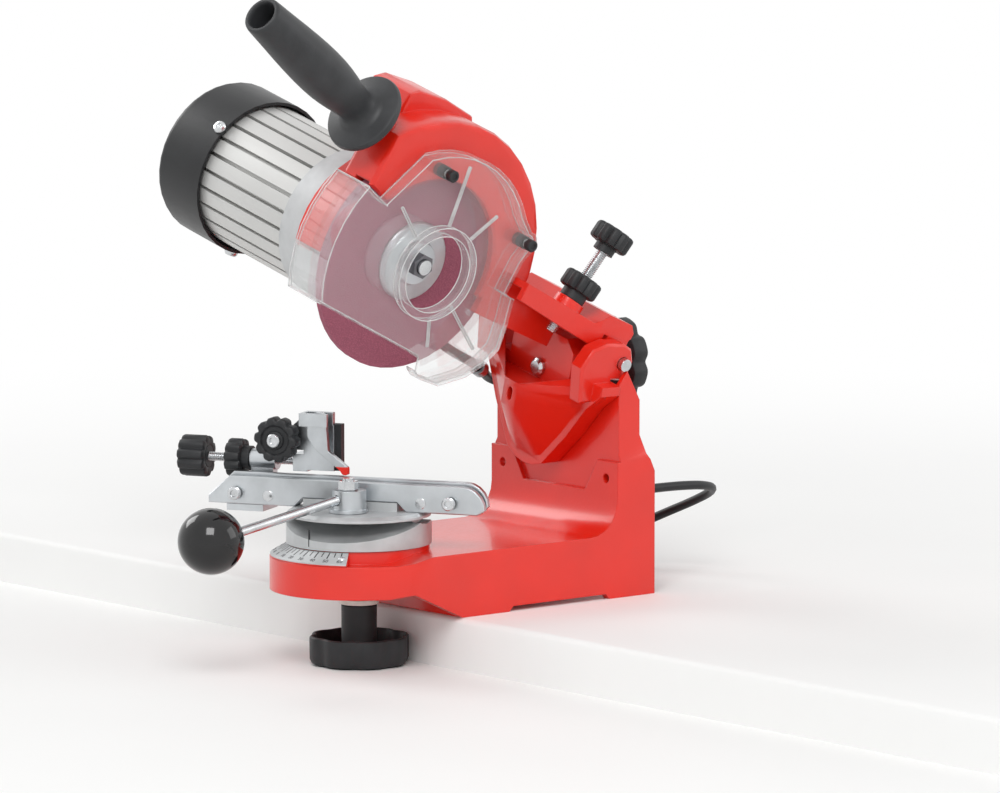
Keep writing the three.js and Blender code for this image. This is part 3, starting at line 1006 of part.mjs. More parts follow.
function wheelGuard() {
  const g = guard;
  const tray = cut(
    slab('y', guardOutline(0), g.face, g.rim, 0.8),
    slab('y', guardOutline(g.wall), g.face + g.wall, g.rim + overrun),
  );
  const skirt = slab('y', ringSector(g.skirtRadius - g.wall, g.skirtRadius, g.skirtFrom, g.skirtTo, 9),
    g.face + g.wall, g.skirtBack);
  const ring = sleeve('y', g.ringOuter, g.ringInner, g.ringFront, g.face + g.wall, largeSides);
  const pads = g.bosses.map((place) => ringPlace(drum('y', g.spacerRadius + 2, g.face, g.face + g.wall), place));
  const ribs = g.ribs.map(([angle, length]) => box(
    g.ringOuter - g.wall, g.ringOuter + length, g.face - g.ribHeight, g.face + g.ribHeight, -g.ribHalf, g.ribHalf,
  ).rotateY(-angle * degree));
  return cut(
    join(tray, skirt, ring, ...pads, ...ribs),
    drum('y', g.ringInner, g.face - overrun, g.rim + overrun, largeSides),
    ...g.bosses.map((place) => ringPlace(drum('y', g.screwRadius + gap, g.face - overrun, g.rim + overrun, smallSides), place)),
  );
}
piece(wheelFrame, 'wheel_guard', clearPlastic, wheelGuard());
guard.bosses.forEach((place, i) => {
  const g = guard;
  piece(wheelFrame, `guard_screw_${i + 1}`, blackPlastic, ringPlace(revolve('y', [
    [0, g.face - gap - g.screwHead], [g.screwHeadRadius, g.face - gap - g.screwHead],
    [g.screwHeadRadius, g.face - gap], [g.screwRadius, g.face - gap], [g.screwRadius, g.face + g.wall + gap],
    [g.spacerRadius, g.face + g.wall + gap], [g.spacerRadius, housing.front - gap],
    [g.screwRadius, housing.front - gap], [g.screwRadius, housing.front + housing.wall],
    [0, housing.front + housing.wall],
  ], smallSides), place));
});

// Handle
piece(wheelFrame, 'handle_grip', blackPlastic, onHandleAxis(revolve('z', [
  [0, 0], [handle.neckRadius, 0], [handle.discRadius - 1, 0], [handle.discRadius, handle.discThickness / 3],
  [handle.discRadius - 1, handle.discThickness], [handle.neckRadius + 3, handle.discThickness + 1],
  [handle.neckRadius, handle.discThickness * 2], [(handle.neckRadius + handle.bulgeRadius) / 2, handle.length * 0.24],
  [handle.bulgeRadius, handle.length * 0.45], [handle.bulgeRadius * 0.97, handle.length * 0.62],
  [handle.tipRadius + 1, handle.length * 0.88], [handle.tipRadius, handle.length - 1.5],
  [handle.tipRadius - 1.2, handle.length], [handle.boreRadius + 0.6, handle.length],
  [handle.boreRadius, handle.length - handle.boreDepth], [0, handle.length - handle.boreDepth],
], mediumSides)));

// Depth screw with its knob and lock wheel
const d = depth;
piece(wheelFrame, 'depth_screw', steel, onDepthAxis(drum('z', d.screwRadius, 0, d.length)));
piece(wheelFrame, 'depth_lock_wheel', blackPlastic, cut(
  join(
    onDepthAxis(drum('z', d.collarRadius, d.bossTo + gap, d.bossTo + gap + d.collarLength + overrun)),
    onDepthAxis(lobed('z', d.wheelRadius, 1.6, 10, d.bossTo + d.collarLength, d.bossTo + d.collarLength + d.wheelHeight, 1.2)),
  ),
  onDepthAxis(drum('z', d.screwRadius + gap, 0, d.length)),
));
piece(wheelFrame, 'depth_knob', blackPlastic, cut(
  join(
    onDepthAxis(drum('z', d.knobHubRadius, d.knobFrom, d.knobFrom + d.knobHubHeight + overrun)),
    onDepthAxis(lobed('z', d.knobRadius, 1.6, 10, d.knobFrom + d.knobHubHeight,
      d.knobFrom + d.knobHubHeight + d.knobHeight, 1.5)),
  ),
  onDepthAxis(drum('z', d.screwRadius + gap, d.knobFrom - overrun, d.length + gap)),
));

// Terminal box in the corner behind the column's front wall
const terminalLeft = base.wall - base.halfWidth + terminal.wallGap;
const terminalMiddle = terminalLeft + terminal.width / 2;
const terminalFront = column.wallFront + column.wallThickness + gap;
const terminalBack = terminalFront + terminal.depth;
const terminalTop = terminal.bottom + terminal.height;
piece(machine, 'terminal_box', blackPlastic, box(terminalFront, terminalBack, terminalLeft,
  terminalLeft + terminal.width, terminal.bottom, terminalTop));

// Motor lead: gland on the end bell, clip on the bracket, end at the terminal box
const glandOut = new THREE.Vector3(Math.cos(motor.glandAngle * degree), 0, Math.sin(motor.glandAngle * degree));
machine.updateMatrixWorld(true);
const intoMachine = machine.matrixWorld.clone().invert();
const headPoint = (reach) => wheelFrame.localToWorld(
  glandOut.clone().multiplyScalar(reach).add(new THREE.Vector3(0, motor.glandY, 0))).applyMatrix4(intoMachine).toArray();
const glandEnd = motor.bellRadius + motor.glandLength;
const leadPath = new THREE.CatmullRomCurve3([
  headPoint(glandEnd + gap), headPoint(glandEnd + gap + 3 * lead.radius), ...lead.route,
  [(terminalFront + terminalBack) / 2, terminalMiddle, terminalTop + gap],
].map((point) => new THREE.Vector3(...point)), false, 'centripetal');
piece(machine, 'motor_lead', cordRubber, tube(leadPath, lead));

// Mains cord: strain relief, free run, coil and plug
const reliefStart = terminalBack + gap;
const reliefEnd = reliefStart + relief.length;
const reliefHeight = terminal.bottom + relief.rise;
piece(machine, 'cord_strain_relief', blackPlastic, revolve('x', [
  [0, reliefStart], [relief.radius, reliefStart], [relief.radius, terminalBack + relief.length / 4],
  [relief.tip, reliefEnd], [0, reliefEnd],
]).translate(0, terminalMiddle, reliefHeight));
const coilOuter = coil.innerRadius + coil.pitch * coil.turnsPerLayer;
const coilStart = new THREE.Vector3(coil.x + coilOuter, coil.y, cord.radius);
const cordPath = new THREE.CatmullRomCurve3([
  new THREE.Vector3(reliefEnd + gap, terminalMiddle, reliefHeight),
  ...cord.route.map((point) => new THREE.Vector3(...point)),
  new THREE.Vector3(coilStart.x, coilStart.y - 2 * cord.radius - gap, coilStart.z),
], false, 'centripetal');
piece(machine, 'mains_cord', cordRubber, tube(cordPath, cord));

// Coil: in on the floor, up, out on the first layer, then a straight tail to the plug
function windCoil() {
  const layerSteps = coil.turnsPerLayer * coil.stepsPerTurn;
  const climbSteps = coil.stepsPerTurn / 2;
  const total = 2 * layerSteps;
  const points = [coilStart.clone().setY(coilStart.y - 2 * cord.radius)];
  for (let i = 0; i <= total; i += 1) {
    const angle = (2 * Math.PI * i) / coil.stepsPerTurn;
    const inward = Math.min(i, total - i) / coil.stepsPerTurn;
    const climb = Math.min(Math.max((i - layerSteps + climbSteps / 2) / climbSteps, 0), 1);
    const radius = coilOuter - coil.pitch * inward;
    points.push(new THREE.Vector3(
      coil.x + radius * Math.cos(angle), coil.y + radius * Math.sin(angle), coilStart.z + coil.layerRise * climb,
    ));
  }
  const last = points[points.length - 1];
  points.push(last.clone().setX(last.x - coil.tail / 2), last.clone().setX(last.x - coil.tail));
  return points;
}
const coilTurns = windCoil();

// Least gap between turns, measured on the path's points a turn or more apart
function leastGap(points, skip) {
  let least = Infinity;
  for (let i = 0; i < points.length; i += 1) {
    for (let k = i + skip; k < points.length; k += 1) least = Math.min(least, points[i].distanceTo(points[k]));
  }
  return least - 2 * cord.radius;
}
console.log(`least gap between cord turns: ${leastGap(coilTurns, coil.stepsPerTurn / 2).toFixed(2)} mm`);
piece(machine, 'mains_cord_coil', cordRubber, wire(coilTurns, cord.radius, coil.sides));
const coilExit = coilTurns[coilTurns.length - 1];
const plugStart = coilExit.x - gap;
const plugFace = plugStart - plug.length;
piece(machine, 'mains_plug', blackPlastic, join(
  slab('x', [
    [-plug.width / 2, -plug.height / 2 + plug.edge], [-plug.width / 2 + plug.edge, -plug.height / 2],
    [plug.width / 2 - plug.edge, -plug.height / 2], [plug.width / 2, -plug.height / 2 + plug.edge],
    [plug.width / 2, plug.height / 2 - plug.edge], [plug.width / 2 - plug.edge, plug.height / 2],
    [-plug.width / 2 + plug.edge, plug.height / 2], [-plug.width / 2, plug.height / 2 - plug.edge],
  ], plugFace, plugStart, plug.edge / 2),
  ...[-1, 1].map((side) => drum('x', plug.pinRadius, plugFace - plug.pinLength, plugFace + overrun, smallSides)
    .translate(0, (side * plug.pinSpacing) / 2, 0)),
).translate(0, coilExit.y, coilExit.z));

// Clip that holds the motor lead under the bracket's far wing
const clipShare = lead.clipAt / (leadPath.points.length - 1);
const clipPoint = leadPath.getPoint(clipShare);
const clipTurn = new THREE.Quaternion().setFromUnitVectors(axisX, leadPath.getTangent(clipShare));
const clipPlace = new THREE.Matrix4().compose(clipPoint, clipTurn, new THREE.Vector3(1, 1, 1))
  .premultiply(machine.matrixWorld).premultiply(bracketFrame.matrixWorld.clone().invert());
piece(bracketFrame, 'lead_clip', zinc, sleeve('x', clip.outer, clip.inner, -clip.width / 2, clip.width / 2)
  .applyMatrix4(clipPlace));

export default machine;
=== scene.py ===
"""Looks of an electric chainsaw sharpener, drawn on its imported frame: an add-on that is run as a script."""
import json
from math import atan, ceil, copysign, cos, pi, radians, sin, sqrt

import bmesh
import bpy
from bpy.props import FloatProperty, FloatVectorProperty, PointerProperty
from mathutils import Matrix, Vector


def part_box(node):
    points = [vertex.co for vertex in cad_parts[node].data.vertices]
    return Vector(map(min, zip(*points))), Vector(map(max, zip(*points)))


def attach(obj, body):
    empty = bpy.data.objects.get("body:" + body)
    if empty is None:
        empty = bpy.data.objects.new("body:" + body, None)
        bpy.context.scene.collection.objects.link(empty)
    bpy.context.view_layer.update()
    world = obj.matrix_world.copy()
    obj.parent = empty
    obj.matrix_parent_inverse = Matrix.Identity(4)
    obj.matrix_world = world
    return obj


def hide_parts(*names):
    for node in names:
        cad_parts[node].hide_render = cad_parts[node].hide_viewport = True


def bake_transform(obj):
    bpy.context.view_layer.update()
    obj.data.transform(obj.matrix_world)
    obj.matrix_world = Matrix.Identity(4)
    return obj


bl_info = {
    "name": "Chainsaw Sharpener Looks",
    "version": (1, 0, 0),
    "blender": (4, 5, 0),
    "location": "View3D > Sidebar > Sharpener",
    "description": "Finishes and fine pieces for a bench chainsaw sharpener",
    "category": "Object",
}

MM = 0.001
UP = Vector((0, 0, 1))
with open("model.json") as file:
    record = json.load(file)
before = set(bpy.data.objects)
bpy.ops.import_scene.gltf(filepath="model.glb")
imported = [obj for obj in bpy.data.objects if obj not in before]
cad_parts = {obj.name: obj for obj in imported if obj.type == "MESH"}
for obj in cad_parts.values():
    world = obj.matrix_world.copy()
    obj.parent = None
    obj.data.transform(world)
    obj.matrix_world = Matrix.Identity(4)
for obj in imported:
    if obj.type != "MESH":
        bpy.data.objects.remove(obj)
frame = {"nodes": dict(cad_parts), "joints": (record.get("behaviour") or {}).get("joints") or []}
nodes = frame["nodes"]
joints = {joint["name"]: joint for joint in frame["joints"]}
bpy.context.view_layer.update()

# Sizes in millimetres and degrees. A place counts from the bench under the turntable's axis, or is in the
# frame of the sub-part that a comment names. First that axis, the vise's turn and the bracket's lean.
TABLE_AXIS = Vector((-39.5, 0, 0)) * MM
VISE_TURN, BRACKET_LEAN = -60, 14.8

# Camera fitted to the photograph, with its place in metres
CAMERA = {
    "place": (-3.15149, -3.8722, 0.77272), "azimuth": -39.823, "elevation": 7.284, "lens": 284, "sensor": 36,
}

# Mains cord: where its strain relief stands, its route, and the coil on the floor, wound in two layers
RELIEF_FOOT = (188.3, -42, 64.6)
CORD_ROUTE = [
    (208.6, -42, 64.6), (217, -42, 64.6), (236, -42, 64.2), (255, -40.5, 62.6), (269, -34, 59),
    (276.5, -21.5, 53.4), (276.5, -6, 46.4), (271, 10, 38.8), (263, 25, 31), (254.5, 40, 23.2),
    (247, 57, 15.4), (241.5, 75, 8.6), (239.7, 89, 4.6), (239.7, 98, 3.2), (239.725, 106.7, 3),
]
COIL = {"x": 196, "y": 113, "inner": 26.4, "pitch": 6.6, "turns": 2.625, "rise": 6.6, "tail": 40, "steps": 24}

# Motor lead: its route, and which of its points the clip holds
LEAD_ROUTE = [
    (59.604, 48.869, 195.023), (65.349, 50.833, 187.587), (92, 46, 168), (114, 46, 154),
    (132, 48, 145), (142, 51.5, 140), (151, 57.5, 136), (162, 66, 131), (175, 68.5, 126),
    (188, 66, 120), (198, 55, 113), (203, 34, 106), (203, 8, 101), (201, -16, 98.5),
    (196, -33, 98), (187, -41.5, 96.5), (180, -42, 91), (180, -42, 86.5), (179.9, -42, 82.3),
]
LEAD_CLIP = 5

# Pawl in the vise's frame: its pin, half its thickness, its corners' rounding, and its outline from the pin
PAWL = {"x": -27, "z": 123.6, "half": 2, "rounding": 1.1}
PAWL_OUTLINE = (
    (-2.2, 2.9), (-7.3, -3.6), (-7.3, -13), (-2, -21), (14.8, -33.6), (16.7, -36.4), (20, -36.4),
    (20, -31.5), (6.6, -21.5), (5.8, -10.5), (5, -2), (3.6, 2.5),
)

# Springs wound along Y in the bracket's frame and in the vise's
RETURN_SPRING = {"start": (171.5, 16, 20), "radius": 6, "pitch": 2.6, "turns": 5, "steps": 36}
PAWL_SPRING = {"start": (PAWL["x"], 2.8, PAWL["z"]), "radius": 2.6, "pitch": 0.8, "turns": 3, "steps": 24}

# Handle in the head's frame: the middle of its foot, and its rise from the arm's line; the lever's ball
HANDLE_FOOT, HANDLE_RISE = (-78.7, 11, 69.5), 13
BALL_RADIUS = 21

# Screws of the guard and the motor's cover in the head's frame and of the front rail in the vise's; how far
# the clamp knob's face is from its joint
GUARD_SCREWS = {"face": -24, "spots": ((-25, 60), (65, 42))}
COVER_SCREWS = {"y": 160, "radius": 52, "angles": (160, 280, 40)}
RAIL_SOCKETS = {"face": -9.15, "height": 73, "across": (-82, 64)}
RAIL_RIVETS = {"face": -5.7, "height": 72, "across": (-60, 44)}
CLAMP_KNOB_FACE = 7.2

# Degree sector: its edges, the land's height under them and its foot, the plate's thickness, ends and zero;
# its marks, with the length and half width of one; its numbers; the line on the turntable
SECTOR = {
    "inner": 45.7, "outer": 56.6, "inner_top": 43.4, "outer_top": 37.3, "foot": 36.6, "thick": 0.8,
    "from": 93, "to": 223, "zero": 158,
}
MARKS = {"reach": 60, "start": 46.4, "raised": 0.08, "tens": (5.2, 0.38), "fives": (3.8, 0.3)}
NUMBERS = {"radius": 53.9, "size": 3.9, "raised": 0.05, "half_thick": 0.03}
POINTER = {"degrees": 188, "span": (45.4, 46.43), "half": 0.35, "heights": (46.5, 57.2)}

# Folds that count as real edges: on drawn pieces, on imported parts, and for the guard's beads of painted
# highlight
CREASE, PACKED_CREASE, HIGHLIGHT_BEAD_CREASE = 38, 33, 50

# Floor in metres: where it steps down under the platform, that edge's rounding, and its reach
FLOOR = {"edge": -0.0085, "soft": 0.004, "reach": 14}


# Places of the machine's own frames, taken from its joints


def along(point, axis):
    """Place whose Z runs along the axis, for a piece drawn upright in millimetres."""
    turn = UP.rotation_difference(Vector(axis)).to_matrix().to_4x4()
    return Matrix.Translation(Vector(point)) @ turn @ Matrix.Scale(MM, 4)


def joint_place(name):
    """Place at a joint, with Z along its axis."""
    return along(joints[name]["pos_m"], joints[name]["axis"])


tilt_height = joints["column_tilt"]["pos_m"][2]
machine_place = Matrix.Translation(TABLE_AXIS) @ Matrix.Scale(MM, 4)
vise_place = machine_place @ Matrix.Rotation(radians(VISE_TURN), 4, "Z")
bracket_place = (
    Matrix.Translation(UP * tilt_height) @ machine_place @ Matrix.Rotation(radians(BRACKET_LEAN), 4, "X")
)
wheel_centre = Vector(joints["spindle_spin"]["pos_m"])
head_y = Vector(joints["spindle_spin"]["axis"])
head_x = (Vector(joints["head_swing"]["pos_m"]) - wheel_centre).normalized()
head_turn = Matrix((head_x, head_y, head_x.cross(head_y))).transposed().to_4x4()
head_place = Matrix.Translation(wheel_centre) @ head_turn @ Matrix.Scale(MM, 4)


# Sizes and colours that a user can change


def linear(code):
    """sRGB hex such as E23A2E to linear colour with alpha."""
    shares = [int(code[i:i + 2], 16) / 255 for i in (0, 2, 4)]
    return (*[c / 12.92 if c <= 0.04045 else ((c + 0.055) / 1.055) ** 2.4 for c in shares], 1.0)


class SharpenerSizes(bpy.types.PropertyGroup):
    cord_radius: FloatProperty(
        name="Cord Radius", description="Radius of the mains cord",
        default=0.003, subtype="DISTANCE")
    lead_radius: FloatProperty(
        name="Lead Radius", description="Radius of the motor lead",
        default=0.0032, subtype="DISTANCE")
    thread_pitch: FloatProperty(
        name="Thread Pitch", description="Rise of the screw threads per turn, in millimetres", default=1.25)
    edge_radius: FloatProperty(
        name="Edge Radius", description="Rounding that the castings' edges show",
        default=0.0011, subtype="DISTANCE")
    plate_edge: FloatProperty(
        name="Plate Edge", description="Rounding that plates and turned parts show",
        default=0.0004, subtype="DISTANCE")
    # The pale beads on the clear guard's edges are a painted highlight, standing in for the light that the
    # edges gather
    bead_radius: FloatProperty(
        name="Bead Radius", description="Radius of the pale line that the clear guard's edges show",
        default=0.00035, subtype="DISTANCE")
    step_height: FloatProperty(
        name="Step Height", description="Drop of the floor in front of the foot, for the hanging knob",
        default=0.0337, subtype="DISTANCE")


class SharpenerColours(bpy.types.PropertyGroup):
    enamel: FloatVectorProperty(
        name="Enamel", description="Red paint of the castings",
        subtype="COLOR", size=4, default=linear("E32412"))
    aluminium: FloatVectorProperty(
        name="Aluminium", description="Cast turntable, cradle and motor",
        subtype="COLOR", size=4, default=linear("C4C6C7"))
    black: FloatVectorProperty(
        name="Black Plastic", description="Moulded knobs and blocks",
        subtype="COLOR", size=4, default=linear("252628"))
    zinc: FloatVectorProperty(
        name="Zinc", description="Plated rails and stop",
        subtype="COLOR", size=4, default=linear("C9CDD0"))
    wheel: FloatVectorProperty(
        name="Abrasive", description="Bonded grains of the grinding wheel",
        subtype="COLOR", size=4, default=linear("9A5668"))
    guard: FloatVectorProperty(
        name="Guard", description="Clear guard",
        subtype="COLOR", size=4, default=linear("F4F7F7"))


def sizes():
    """Sizes that the panel shows."""
    return bpy.context.scene.sharpener_sizes


def colours():
    """Colours that the panel shows."""
    return bpy.context.scene.sharpener_colours


# Materials


def add(tree, kind, sockets=None, stops=None, **settings):
    """Adds a node and links or fills its sockets. A node as a socket's value stands for its first output."""
    made = tree.nodes.new(kind)
    for key, value in settings.items():
        setattr(made, key, value)
    for key, value in (sockets or {}).items():
        if isinstance(value, bpy.types.Node):
            value = value.outputs[0]
        if isinstance(value, bpy.types.NodeSocket):
            tree.links.new(value, made.inputs[key])
        else:
            made.inputs[key].default_value = value
    if stops:
        ramp = made.color_ramp.elements
        for element, (place, colour) in zip(ramp, (stops[0], stops[-1])):
            element.position, element.color = place, colour
        for place, colour in stops[1:-1]:
            ramp.new(place).color = colour
    return made


def per(millimetres):
    """Pattern scale, in repeats per metre, for a grain of that size."""
    return 1000 / millimetres


def shade(colour, factor):
    """The colour made darker or lighter by a factor."""
    return (*[min(1.0, c * factor) for c in colour[:3]], 1.0)


def blank(name):
    """A new material's network and object coordinates, or only the material if it is already built."""
    made = bpy.data.materials.get(name)
    if made:
        return made, None, None
    made = bpy.data.materials.new(name)
    made.use_nodes = True
    tree = made.node_tree
    tree.nodes.clear()
    return made, tree, add(tree, "ShaderNodeTexCoord").outputs["Object"]


def close(made, tree, surface):
    """Ends a material's network in its output."""
    add(tree, "ShaderNodeOutputMaterial", {"Surface": surface})
    return made


def gloss_enamel():
    """Sprayed gloss enamel on die castings: wet highlights, faint orange peel, edges rounded by the paint."""
    made, tree, place = blank("gloss_enamel_on_die_casting")
    if tree is None:
        return made
    red = tuple(colours().enamel)
    cloud = add(tree, "ShaderNodeTexNoise", {"Vector": place, "Scale": per(45), "Detail": 2.0})
    tone = add(tree, "ShaderNodeValToRGB", {"Fac": cloud}, [(0.3, shade(red, 0.93)), (0.7, shade(red, 1.04))])
    peel = add(tree, "ShaderNodeTexNoise", {"Vector": place, "Scale": per(2.2), "Detail": 2.0})
    cast = add(tree, "ShaderNodeTexNoise", {"Vector": place, "Scale": per(16), "Detail": 1.0})
    mixed = add(tree, "ShaderNodeMath", {0: peel, 1: cast}, operation="ADD")
    edge = add(tree, "ShaderNodeBevel", {"Radius": sizes().edge_radius}, samples=6)
    bump = add(tree, "ShaderNodeBump", {
        "Height": mixed, "Strength": 0.16, "Distance": 0.0005, "Normal": edge})
    sheen = add(tree, "ShaderNodeMapRange", {"Value": peel, "To Min": 0.26, "To Max": 0.36})
    return close(made, tree, add(tree, "ShaderNodeBsdfPrincipled", {
        "Base Color": tone, "Roughness": sheen, "IOR": 1.5, "Coat Weight": 0.3, "Coat Roughness": 0.09,
        "Normal": bump}))


def clouded(name, cloud, tones, gloss, surface, grain=None):
    """Shared build of most finishes: a cloudy tone, a gloss that wanders with it, a grain on rounded edges.
    Cloud is the size and detail of the pattern, gloss one roughness or its two ends, grain the kind, size,
    detail, strength and depth of the fine pattern."""
    made, tree, place = blank(name)
    if tree is None:
        return made
    spots = add(tree, "ShaderNodeTexNoise", {"Vector": place, "Scale": per(cloud[0]), "Detail": cloud[1]})
    tone = add(tree, "ShaderNodeValToRGB", {"Fac": spots}, tones)
    if isinstance(gloss, tuple):
        gloss = add(tree, "ShaderNodeMapRange", {"Value": spots, "To Min": gloss[0], "To Max": gloss[1]})
    sockets = {"Base Color": tone, "Roughness": gloss, **surface}
    if grain:
        kind, size, detail, strength, depth = grain
        fine = add(tree, kind, {"Vector": place, "Scale": per(size), "Detail": detail})
        edge = add(tree, "ShaderNodeBevel", {"Radius": sizes().plate_edge}, samples=4)
        sockets["Normal"] = add(tree, "ShaderNodeBump", {
            "Height": fine, "Strength": strength, "Distance": depth, "Normal": edge})
    return close(made, tree, add(tree, "ShaderNodeBsdfPrincipled", sockets))


def moulded_black(name, base, grain_mm, rough, strength=0.35):
    """Glass-filled nylon from an eroded mould: fine matt grain that greys the highlights along each edge."""
    tones = [(0.3, shade(base, 0.8)), (0.7, shade(base, 1.25))]
    grain = ("ShaderNodeTexNoise", grain_mm, 2.0, strength, 0.0002)
    surface = {"IOR": 1.52, "Specular IOR Level": 0.36}
    return clouded(name, (14, 3.0), tones, (rough - 0.05, rough + 0.07), surface, grain)


def black_nylon():
    """Glass-filled nylon of the knobs and blocks: dark grey, with a dry, even sheen."""
    return moulded_black("moulded_black_nylon", tuple(colours().black), 0.7, 0.5)


def black_cover():
    """Moulded cover of the motor: deeper black and a little glossier than the knobs."""
    return moulded_black("moulded_black_abs_cover", linear("17181A"), 1.1, 0.36, 0.18)


def cord_sheath():
    """Extruded PVC sheath: even satin black, almost without grain."""
    return moulded_black("extruded_pvc_sheath", linear("1C1C1E"), 1.6, 0.42, 0.12)


def polished_phenolic():
    """Compression-moulded phenolic: nearly black, mirror-smooth, with one sharp lamp reflection."""
    tones = [(0.3, linear("0B0B0C")), (0.8, linear("1A191A"))]
    surface = {"IOR": 1.6, "Specular IOR Level": 0.3, "Coat Weight": 0.25, "Coat Roughness": 0.04}
    return clouded("polished_phenolic", (12, 3.0), tones, (0.07, 0.13), surface)


def metal(name, base, gloss, grain_mm, cloud_mm, strength, bare=1.0):
    """Bare metal: tone and gloss wander with the surface, over a fine grain."""
    tones = [(0.3, shade(base, 0.82)), (0.72, shade(base, 1.08))]
    grain = ("ShaderNodeTexNoise", grain_mm, 3.0, strength, 0.00015)
    return clouded(name, (cloud_mm, 4.0), tones, gloss, {"Metallic": bare}, grain)


def zinc_plate():
    """Zinc-plated steel plate: cool grey, soft reflections, slight cloudiness from the bath."""
    return metal("zinc_plated_steel", tuple(colours().zinc), (0.24, 0.4), 0.9, 22, 0.16)


def cast_aluminium():
    """Bead-blasted die-cast aluminium: dull and grainy, lighter than the plate beside it."""
    return metal("blasted_cast_aluminium", tuple(colours().aluminium), (0.42, 0.58), 0.8, 18, 0.3, 0.6)


def turned_steel():
    """Turned and polished mild steel: bright, with tight reflections."""
    return metal("turned_bright_steel", linear("D2D4D6"), (0.16, 0.27), 0.6, 9, 0.1)


def oiled_steel():
    """Oiled plain steel: darker and duller than the turned parts beside it."""
    return metal("oiled_plain_steel", linear("77767A"), (0.3, 0.42), 0.7, 8, 0.2)


def painted_motor():
    """Silver-painted extruded stator: metallic flakes make it light grey with a satin sheen on each rib."""
    base = linear("CBCBC9")
    tones = [(0.3, shade(base, 0.96)), (0.7, shade(base, 1.03))]
    flakes = ("ShaderNodeTexVoronoi", 0.9, 0.0, 0.12, 0.0001)
    return clouded("silver_painted_extrusion", (60, 1.0), tones, 0.42, {"Metallic": 0.45}, flakes)


def white_nylon():
    """Turned white nylon: milky, with light under its surface."""
    tones = [(0.3, linear("DCD9D0")), (0.7, linear("F0EEE8"))]
    surface = {"IOR": 1.53, "Subsurface Weight": 0.1, "Subsurface Scale": 0.002}
    return clouded("turned_white_nylon", (6, 3.0), tones, (0.35, 0.5), surface)


def polished_guard_edge():
    """Painted highlight along the clear moulding's edges, standing in for the light inside it that comes out
    there: pale, glossy and half see-through.
    """
    # Pale tones of the painted edge highlight
    tones = [(0.3, linear("E3E5E5")), (0.7, linear("FAFBFB"))]
    surface = {"IOR": 1.45, "Transmission Weight": 0.35, "Alpha": 0.8}
    return clouded("polished_guard_edge", (8, 2.0), tones, 0.12, surface)


def stamped_ink():
    """Black ink filled into stamped marks: matt, thin at its edges."""
    tones = [(0.35, linear("1B1B1D")), (0.8, linear("4A4A4C"))]
    return clouded("filled_stamping_ink", (1.5, 3.0), tones, 0.7, {})


def clear_polycarbonate():
    """Injection-moulded polycarbonate: clear with a faint grey haze that grows more opaque where it is seen
    edge-on; the bright line on its edges is a painted highlight, laid as pale beads by bright_edges.
    """
    made, tree, place = blank("clear_moulded_polycarbonate")
    if tree is None:
        return made
    tint = tuple(colours().guard)
    flow = add(tree, "ShaderNodeTexNoise", {
        "Vector": place, "Scale": per(30), "Detail": 2.0, "Distortion": 0.6})
    tone = add(tree, "ShaderNodeValToRGB", {"Fac": flow}, [(0.3, shade(tint, 0.93)), (0.7, tint)])
    sheen = add(tree, "ShaderNodeMapRange", {"Value": flow, "To Min": 0.03, "To Max": 0.09})
    edge = add(tree, "ShaderNodeBevel", {"Radius": sizes().plate_edge}, samples=4)
    bump = add(tree, "ShaderNodeBump", {"Height": flow, "Strength": 0.05, "Distance": 0.0006, "Normal": edge})
    rim = add(tree, "ShaderNodeLayerWeight", {"Blend": 0.35})
    veil = add(tree, "ShaderNodeMapRange", {"Value": rim.outputs["Facing"], "To Min": 0.2, "To Max": 0.8})
    return close(made, tree, add(tree, "ShaderNodeBsdfPrincipled", {
        "Base Color": tone, "Roughness": sheen, "IOR": 1.25, "Transmission Weight": 0.75, "Alpha": veil,
        "Coat Weight": 0.6, "Coat Roughness": 0.05, "Normal": bump}))


def dipped_plate():
    """Zinc-plated steel whose lower end was dipped in red paint, with a soft line between the two."""
    made, tree, place = blank("zinc_plate_with_dipped_tip")
    if tree is None:
        return made
    low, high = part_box("stop_pawl")
    dipped_share, blur = 0.13, 0.0003
    line = low.z + dipped_share * (high.z - low.z)
    zinc = tuple(colours().zinc)
    height = add(tree, "ShaderNodeSeparateXYZ", {"Vector": place})
    cloud = add(tree, "ShaderNodeTexNoise", {"Vector": place, "Scale": per(9), "Detail": 3.0})
    tone = add(tree, "ShaderNodeValToRGB", {"Fac": cloud}, [(0.3, shade(zinc, 0.84)), (0.7, zinc)])
    bare = add(tree, "ShaderNodeMapRange", {
        "Value": height.outputs["Z"], "From Min": line - blur, "From Max": line + blur})
    mixed = add(tree, "ShaderNodeMix", {0: bare, 6: tuple(colours().enamel), 7: tone}, data_type="RGBA")
    edge = add(tree, "ShaderNodeBevel", {"Radius": sizes().plate_edge}, samples=4)
    return close(made, tree, add(tree, "ShaderNodeBsdfPrincipled", {
        "Base Color": mixed.outputs[2], "Metallic": bare, "Roughness": 0.32, "Normal": edge}))


def bonded_corundum():
    """Vitrified pink corundum: coarse sharp grains in a darker bond, drawn at 0.9 mm so that they show."""
    made, tree, place = blank("bonded_pink_corundum")
    if tree is None:
        return made
    base = tuple(colours().wheel)
    grain = add(tree, "ShaderNodeTexVoronoi", {"Vector": place, "Scale": per(0.9)})
    tone = add(tree, "ShaderNodeValToRGB", {"Fac": grain}, [
        (0.05, shade(base, 1.9)), (0.3, shade(base, 1.25)), (0.62, shade(base, 0.8))])
    patch = add(tree, "ShaderNodeTexNoise", {"Vector": place, "Scale": per(12), "Detail": 3.0})
    mixed = add(tree, "ShaderNodeMix", {0: patch, 6: tone, 7: shade(base, 1.15)}, data_type="RGBA")
    bump = add(tree, "ShaderNodeBump", {"Height": grain, "Strength": 0.7, "Distance": 0.0003})
    return close(made, tree, add(tree, "ShaderNodeBsdfPrincipled", {
        "Base Color": mixed.outputs[2], "Roughness": 0.93, "Normal": bump}))


